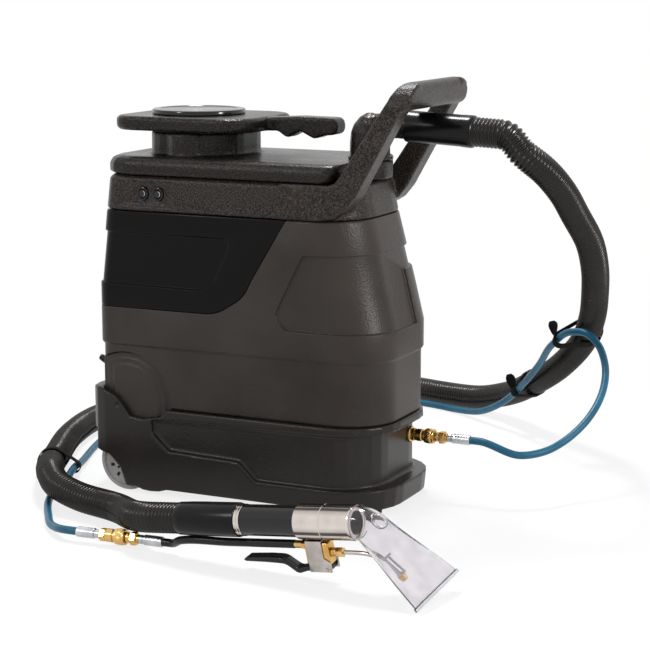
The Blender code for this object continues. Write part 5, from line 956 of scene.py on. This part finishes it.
makeWheel(-1, "wheel_near", "wheel_near")
makeWheel(1, "wheel_far", "wheel_far")
footPlace = {"x": 0.121, "y": 0.081}   # from the machine's middle, in metres
for side, node in ((-1, "foot_near"), (1, "foot_far")):
    data = lathe([(0, 0.0), (0.0098, 0.0), (0.0110, 0.0007), (0.0116, 0.0022), (0.0128, 0.0090),
                  (0.0124, 0.0097),
                  (0, 0.0097)], 48, Matrix.Translation(onMachine(footPlace["x"], side * footPlace["y"], 0)))
    asPiece(f"{node}Pad", data, "machine", footRubber, (node,))
print("wheels")

# lid cap and switches
capDisc = {"x": -0.221, "low": 0.5983, "radius": 0.074, "hub": 0.050, "thickness": 0.0077}


def makeCap():
    low, r = capDisc["low"], capDisc["radius"]
    high = low + capDisc["thickness"]
    profile = [(0, high - 0.0010), (r - 0.0135, high - 0.0010), (r - 0.0128, high - 0.0008),
               (r - 0.0120, high - 0.0001),
               (r - 0.0112, high), (r - 0.0022, high), (r - 0.0008, high - 0.0005), (r, high - 0.0020),
               (r, low + 0.0014), (r - 0.0008, low + 0.0003), (r - 0.0020, low), (capDisc["hub"], low),
               (capDisc["hub"], low - 0.0155), (capDisc["hub"] - 0.0030, low - 0.0160),
               (capDisc["hub"] - 0.0030, low + 0.0028), (0, low + 0.0030)]
    data = lathe(profile, 128, Matrix.Translation(onMachine(capDisc["x"], 0, 0)))
    return asPiece("capDisc", data, "cap", pieceGloss, ("lid_cap",), 30)


makeCap()
switch = {"xs": (-0.259, -0.232), "z": 0.480, "face": -0.11572, "bezel": 0.0105, "bore": 0.0070}


def makeSwitch(number, x):
    matrix = along(onMachine(x, switch["face"], switch["z"]), (0, -1, 0))
    ring = lathe([(switch["bore"], -0.009), (0.0090, -0.009), (0.0090, 0.0), (switch["bezel"], 0.0),
                  (switch["bezel"], 0.0012), (0.0100, 0.0021), (0.0090, 0.0025), (0.0080, 0.0023),
                  (switch["bore"], 0.0010)], 48, matrix)
    asPiece(f"switchBezel{number}", ring, "machine", pieceGloss, (f"switch_bezel_{number}",))
    body = f"rocker_{number}"
    rocker = lathe([(0, 0.0013), (0.0050, 0.0016), (0.0060, 0.0014), (0.0064, 0.0008), (0.0064, -0.0028),
                    (0, -0.0028)], 40, matrix)
    asPiece(f"switchRocker{number}", rocker, body, pieceGloss, (f"switch_rocker_{number}",))
    bm = bmesh.new()
    start = Vector((0.0041, 0, 0.00165))
    row = bm.verts.new(start)
    other = bm.verts.new(start + Vector((0.0009, 0, 0)))
    edge = bm.edges.new((row, other))
    bmesh.ops.rotate(bm, cent=(0, 0, 0), matrix=Matrix.Rotation(-0.9, 3, "Z"), verts=bm.verts)
    bmesh.ops.spin(bm, geom=[row, other, edge], axis=(0, 0, 1), cent=(0, 0, 0), steps=20, angle=2.0)
    mark = meshOf(bm, "mark", matrix)
    mark = baked(mark, ("SOLIDIFY", {"thickness": 0.0002, "offset": 0.0}))
    asPiece(f"switchMark{number}", mark, body, zincMetal)


for number, x in enumerate(switch["xs"], 1):
    makeSwitch(number, x)
print("switches")

# hand tool
handle = {"tube": 0.0245, "inner": 0.0190, "bore": 0.0165, "grip": 0.0218, "seam": -0.047}


def makeWand():
    r = handle["tube"]
    rim, tail = -grip["tube"], -grip["tube"] - grip["grip"]
    profile = [(handle["bore"], tail), (handle["inner"], tail), (handle["inner"], rim), (r - 0.0012, rim),
               (r, rim + 0.0008), (r, handle["seam"] - 0.0012), (r - 0.0007, handle["seam"] - 0.0005),
               (r - 0.0007, handle["seam"] + 0.0004), (r, handle["seam"] + 0.0010), (r, -0.0035),
               (r + 0.0001, -0.0020), (r - 0.0004, 0.0), (handle["bore"], 0.0)]
    return asPiece("chromeTube", lathe(profile, 96, toolX), "machine", chromeMetal,
                   ("wand_tube",), 30)


def makeGrip():
    high = -grip["tube"] - clearance
    low = high - grip["grip"]
    r = handle["grip"]
    profile = [(0.0193, low), (r - 0.0006, low), (r, low + 0.0006), (r, high - 0.0006), (r - 0.0006, high),
               (0.0193, high)]
    asPiece("gripSleeve", lathe(profile, 96, toolX), "machine", pieceGloss,
            ("grip_sleeve",), 30)
    high = low - clearance
    low = high - grip["band"]
    profile = [(0.0166, low), (0.0221, low), (0.0225, low + 0.0006), (0.0225, low + 0.0040),
               (0.0221, low + 0.0046),
               (0.0221, low + 0.0052), (0.0225, low + 0.0058), (0.0225, high - 0.0006), (0.0221, high),
               (0.0166, high)]
    asPiece("tubeBand", lathe(profile, 96, toolX), "machine", chromeMetal,
            ("tube_band",), 30)


makeWand()
makeGrip()

nozzle = {"length": 0.1457, "droop": 46.7, "bend": 0.014, "wall": 0.0026}


def ovalLoop(bm, centre, tilt, wide, high, squareness, segments=48):
    # a ring of the head, square to a direction that droops by tilt; squareness 2 is round
    made = bmesh.ops.create_circle(bm, segments=segments, radius=1.0)
    for vert in made["verts"]:
        c, s = vert.co.x, vert.co.y
        power = 2 / squareness
        vert.co = (math.sin(tilt) * math.copysign(abs(s) ** power, s) * high,
                   math.copysign(abs(c) ** power, c) * wide,
                   math.cos(tilt) * math.copysign(abs(s) ** power, s) * high)
    bmesh.ops.translate(bm, vec=centre, verts=made["verts"])
    return [edge for edge in bm.edges if all(vert in made["verts"] for vert in edge.verts)]


def makeHead():
    droop = math.radians(nozzle["droop"])
    bend = Vector((nozzle["bend"], 0, 0))
    ahead = Vector((math.cos(droop), 0, -math.sin(droop)))
    long = nozzle["length"] - nozzle["bend"]
    r = handle["tube"] - 0.0005
    stations = [((0.0003, 0, 0), 0.0, r, r, 2.0), ((0.008, 0, 0), droop * 0.25, r, r, 2.0),
                ((0.017, 0, -0.004), droop * 0.7, r, r, 2.1)]
    for share, wide, thick, square in ((0.13, 0.0275, 0.0222, 2.2), (0.26, 0.0324, 0.0190, 2.4),
                                       (0.45, 0.0404, 0.0150, 2.9), (0.65, 0.0489, 0.0110, 3.4),
                                       (0.84, 0.0544, 0.0085, 4.2), (0.955, 0.0569, 0.0074, 4.8),
                                       (0.965, 0.0588, 0.0092, 4.8), (1.0, 0.0592, 0.0090, 5.0)):
        stations.append((bend + ahead * long * share, droop, wide, thick, square))
    bm = bmesh.new()
    loops = [ovalLoop(bm, *station) for station in stations]
    for first, second in zip(loops, loops[1:]):
        bmesh.ops.bridge_loops(bm, edges=first + second)
    data = meshOf(bm, "head")
    data = baked(data, ("SOLIDIFY", {"thickness": nozzle["wall"], "offset": -1.0}),
                 ("BEVEL", {"width": 0.0006, "segments": 2, "limit_method": "ANGLE"}),
                 ("SUBSURF", {"levels": 1, "render_levels": 1}))
    # round boss on the upper side, just past the bend
    above = Vector((math.sin(droop), 0, math.cos(droop)))
    boss = lathe([(0.0100, -0.0024), (0.0126, -0.0024), (0.0130, 0.0012), (0.0123, 0.0018), (0.0107, 0.0018),
                  (0.0100, 0.0012)], 40,
                 along(bend + Vector((0, -0.004, 0)) + ahead * 0.012 + above * 0.0208, above))
    data = merged(data, boss)
    data.transform(toolMatrix)
    asPiece("clearHead", data, "machine", clearHead, ("nozzle_head",), 50)


makeHead()


leverSize = {"rest": -0.0655, "pivot": -0.055, "width": 0.0168}


def makeLever():
    rest, pivot = leverSize["rest"], leverSize["pivot"]
    outline = [(pivot + 0.005, rest + 0.0045, 0.004), (pivot - 0.030, rest + 0.0025, 0.02),
               (-0.095, rest + 0.0005, 0.01), (-0.104, rest - 0.0020, 0.01), (-0.126, rest + 0.0135, 0.02),
               (-0.150, rest + 0.0140, 0.03), (-0.186, rest + 0.0125, 0.004), (-0.191, rest + 0.0085, 0.002),
               (-0.187, rest + 0.0065, 0.003), (-0.150, rest + 0.0060, 0.02), (-0.122, rest + 0.0045, 0.02),
               (-0.104, rest - 0.0095, 0.01), (-0.088, rest - 0.0045, 0.02),
               (pivot + 0.005, rest - 0.0045, 0.004)]
    data = rounded(outline, leverSize["width"], upright(-leverSize["width"] / 2), 8)
    data = softEdges(data, 0.0011, 3)
    data.transform(toolMatrix)
    return asPiece("triggerLever", data, "lever", pieceGloss, ("trigger_lever",), 40)


makeLever()


def dressed(node, material, body, edge=0.0004, name=None):
    bm = bmesh.new()
    bm.from_mesh(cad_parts[node].data)
    data = softEdges(meshOf(bm, "copy"), edge, 2)
    return asPiece(name or node + "Piece", data, body, material, (node,), 40)


def makeValve():
    x0, x1 = valve["x"] - valve["half"], valve["x"] + valve["half"]
    inletZ, outletZ, run = valve["inletZ"], valve["outletZ"], valve["outlet"]
    body = block(x0, x1, -0.009, 0.009, valve["low"], valve["high"], None, 0.0022, 3)
    inlet = lathe([(0, -0.019), (0.0052, -0.019), (0.0055, -0.0185), (0.0055, 0.002), (0, 0.002)], 32,
                  along((x0, 0, inletZ), (1, 0, 0)))
    collar = hexagon(0.0072, 0.006, along((x0 - 0.0035, 0, inletZ), (1, 0, 0)))
    outlet = hexagon(0.0072, 0.0105, along((x1 + run - 0.0060, 0, outletZ), (1, 0, 0)))
    stub = lathe([(0, -0.002), (0.0058, -0.002), (0.0058, run - 0.001), (0.0042, run), (0, run)], 32,
                 along((x1, 0, outletZ), (1, 0, 0)))
    ring = lathe([(0, 0.0), (0.0064, 0.0), (0.0068, 0.0005), (0.0068, 0.0030), (0.0064, 0.0035),
                  (0, 0.0035)], 32,
                 along((x1 + 0.0010, 0, outletZ), (1, 0, 0)))
    data = merged(body, inlet, collar, outlet, stub, ring)
    data.transform(toolMatrix)
    asPiece("valveBody", data, "machine", brassMetal, ("valve_body",), 35)


makeValve()
dressed("valve_saddle", nickelMetal, "machine", 0.0003, "valveSaddle")
dressed("lever_pin", nickelMetal, "machine", 0.0002, "leverPin")


def makeJet():
    droop = math.radians(nozzle["droop"])
    ahead = Vector((math.cos(droop), 0, -math.sin(droop)))
    below = Vector((-math.sin(droop), 0, -math.cos(droop)))
    jet = Vector((nozzle["bend"], 0, 0)) + ahead * 0.078 + below * 0.024
    start = Vector((valve["x"] + valve["half"] + valve["outlet"] + clearance, 0, valve["outletZ"]))
    leaving = start + Vector((0.006, 0, 0))
    arriving = jet - ahead * 0.006
    middle = smoothRoute([leaving, (0.022, 0, -0.050), arriving], (1, 0, 0), ahead, -1.0)
    points = [toolMatrix @ point for point in [start] + middle + [jet]]
    pipe = tubeCurve("jetPipe", spaced(points, 40), 0.0030, sides=5)
    asPiece("jetPipe", pipe, "machine", nickelMetal, ("jet_pipe",))
    foot = along(jet + ahead * clearance, ahead)
    spray = merged(lathe([(0, 0.0), (0.0046, 0.0), (0.0050, 0.0004), (0.0050, 0.0060), (0.0042, 0.0075),
                          (0.0042, 0.0090), (0.0030, 0.0118), (0, 0.0118)], 32, foot),
                   hexagon(0.0058, 0.0040, foot @ Matrix.Translation((0, 0, 0.0030))))
    spray.transform(toolMatrix)
    asPiece("sprayJet", spray, "machine", brassMetal, ("spray_jet",), 35)
    turn = Matrix((Vector((0, 1, 0)), ahead, -below)).transposed().to_4x4()
    place = toolMatrix @ Matrix.Translation(jet + ahead * clearance) @ turn
    bar = merged(block(-0.0115, 0.0115, -0.0290, -0.0258, 0.0030, 0.0062, place, 0.0004, 2),
                 *[block(x - 0.0011, x + 0.0011, -0.0262, 0.0040, 0.0034, 0.0056, place, 0.0003, 2)
                   for x in (-0.0052, 0.0052)],
                 block(-0.0064, 0.0064, 0.0012, 0.0038, -0.0010, 0.0056, place, 0.0004, 2))
    asPiece("jetBracket", bar, "machine", zincMetal)


makeJet()
print("hand tool")

# inner hoses and plain finishes of the pieces inside
inner = {"pickup": ((-0.060, 0.0, 0.1400), (0.014, 0.030, 0.0711), (-0.023, 0.015, 0.1048)),
         "delivery": ((0.036, 0.030, 0.0711), (0.1013, 0.045, 0.1005), (0.043, 0.036, 0.0965))}


def makeInnerHoses():
    for name, startAxis, endAxis, straight in (("pickup", (0, 0, -1), (0, 0, -1), 0.014),
                                               ("delivery", (0, 0, 1), (1, 0, 0), 0.010)):
        start, end, middle = (onMachine(*point) for point in inner[name])
        leaving = start + Vector(startAxis) * straight
        arriving = end - Vector(endAxis) * straight
        line = [start] + smoothRoute([leaving, middle, arriving], startAxis, endAxis, 0.0) + [end]
        data = tubeCurve(f"{name}Hose", spaced(line, 40), 0.0060)
        asPiece(f"{name}Hose", data, "machine", blackJacket, (f"{name}_hose",))


makeInnerHoses()
plainFinish = {
    "axle": zincMetal, "base_plate": basePlastic, "vacuum_motor": motorMetal, "vacuum_fan": motorMetal,
    "air_duct": footRubber, "pump_body": basePlastic, "pump_motor": motorMetal, "pump_rotor": brassMetal,
    "strainer": brassMetal, "standpipe": palePlastic, "float_ring": palePlastic, "lid_gasket": footRubber,
    "valve_plunger": nickelMetal,
}
for node, finish in plainFinish.items():
    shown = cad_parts[node]
    for index in range(len(shown.material_slots)):
        shown.material_slots[index].material = finish
print("inner pieces")

# floor, backdrop and lamps
studio = {"floorWhite": 0.80, "world": 0.50, "lamps": (
    ("top", (-0.3, 0.4, 2.3), (-0.05, 0.0, 0.3), 0.5, 46.0),
    ("front", (-1.4, -2.6, 1.9), (0.0, 0.0, 0.3), 0.5, 18.0),
    ("side", (2.5, -0.3, 1.2), (0.0, 0.0, 0.3), 0.45, 28.0),
)}


def seenRays(tree):
    # 1 for the rays by which the camera sees the background, straight, mirrored or through clear plastic
    path = add(tree, "ShaderNodeLightPath")
    both = add(tree, "ShaderNodeMath", {0: path.outputs["Is Camera Ray"],
                                        1: path.outputs["Is Transmission Ray"]},
               operation="MAXIMUM")
    return add(tree, "ShaderNodeMath", {0: both.outputs["Value"], 1: path.outputs["Is Glossy Ray"]},
               operation="MAXIMUM")


def makeStudio():
    data = bpy.data.meshes.new("floor")
    bm = bmesh.new()
    bmesh.ops.create_grid(bm, x_segments=1, y_segments=1, size=12)
    bm.to_mesh(data)
    bm.free()
    floor = bpy.data.objects.new("floor", data)
    floor.location.z = -0.0005
    bpy.context.scene.collection.objects.link(floor)
    made, tree, shader = newMaterial("paleFloor")
    shader.inputs["Base Color"].default_value = (0.86, 0.86, 0.86, 1)
    shader.inputs["Roughness"].default_value = 0.9
    shader.inputs["Specular IOR Level"].default_value = 0.1
    seen = seenRays(tree)
    place = add(tree, "ShaderNodeTexCoord")
    away = add(tree, "ShaderNodeVectorMath", {0: place.outputs["Object"]}, operation="LENGTH")
    fade = add(tree, "ShaderNodeMapRange", {"Value": away.outputs["Value"], "From Min": 0.5, "From Max": 2.2,
                                            "To Min": studio["floorWhite"], "To Max": 1.0})
    share = add(tree, "ShaderNodeMath", {0: seen.outputs["Value"], 1: fade.outputs["Result"]},
                operation="MULTIPLY")
    glow = add(tree, "ShaderNodeEmission", {"Color": (1, 1, 1, 1), "Strength": 1.0})
    mix = add(tree, "ShaderNodeMixShader", {"Fac": share.outputs["Value"], 1: shader.outputs["BSDF"],
                                            2: glow.outputs["Emission"]})
    tree.links.new(mix.outputs["Shader"], tree.nodes["Material Output"].inputs["Surface"])
    data.materials.append(made)

    world = bpy.data.worlds.new("studio")
    bpy.context.scene.world = world
    world.use_nodes = True
    tree = world.node_tree
    tree.nodes.clear()
    seen = seenRays(tree)
    plain = add(tree, "ShaderNodeBackground", {"Color": (0.95, 0.97, 1.0, 1), "Strength": studio["world"]})
    white = add(tree, "ShaderNodeBackground", {"Color": (1, 1, 1, 1), "Strength": 1.0})
    mix = add(tree, "ShaderNodeMixShader", {"Fac": seen.outputs["Value"], 1: plain.outputs["Background"],
                                            2: white.outputs["Background"]})
    add(tree, "ShaderNodeOutputWorld", {"Surface": mix.outputs["Shader"]})

    for name, place, towards, size, power in studio["lamps"]:
        lamp = bpy.data.lights.new(name, "AREA")
        lamp.shape = "DISK"
        lamp.size = size
        lamp.energy = power
        lampObject = bpy.data.objects.new(name, lamp)
        bpy.context.scene.collection.objects.link(lampObject)
        lampObject.location = onMachine(*place)
        turn = (onMachine(*towards) - lampObject.location).to_track_quat("-Z", "Y")
        lampObject.rotation_euler = turn.to_euler()
    bpy.context.scene.view_settings.view_transform = "Standard"


makeStudio()
print("studio")
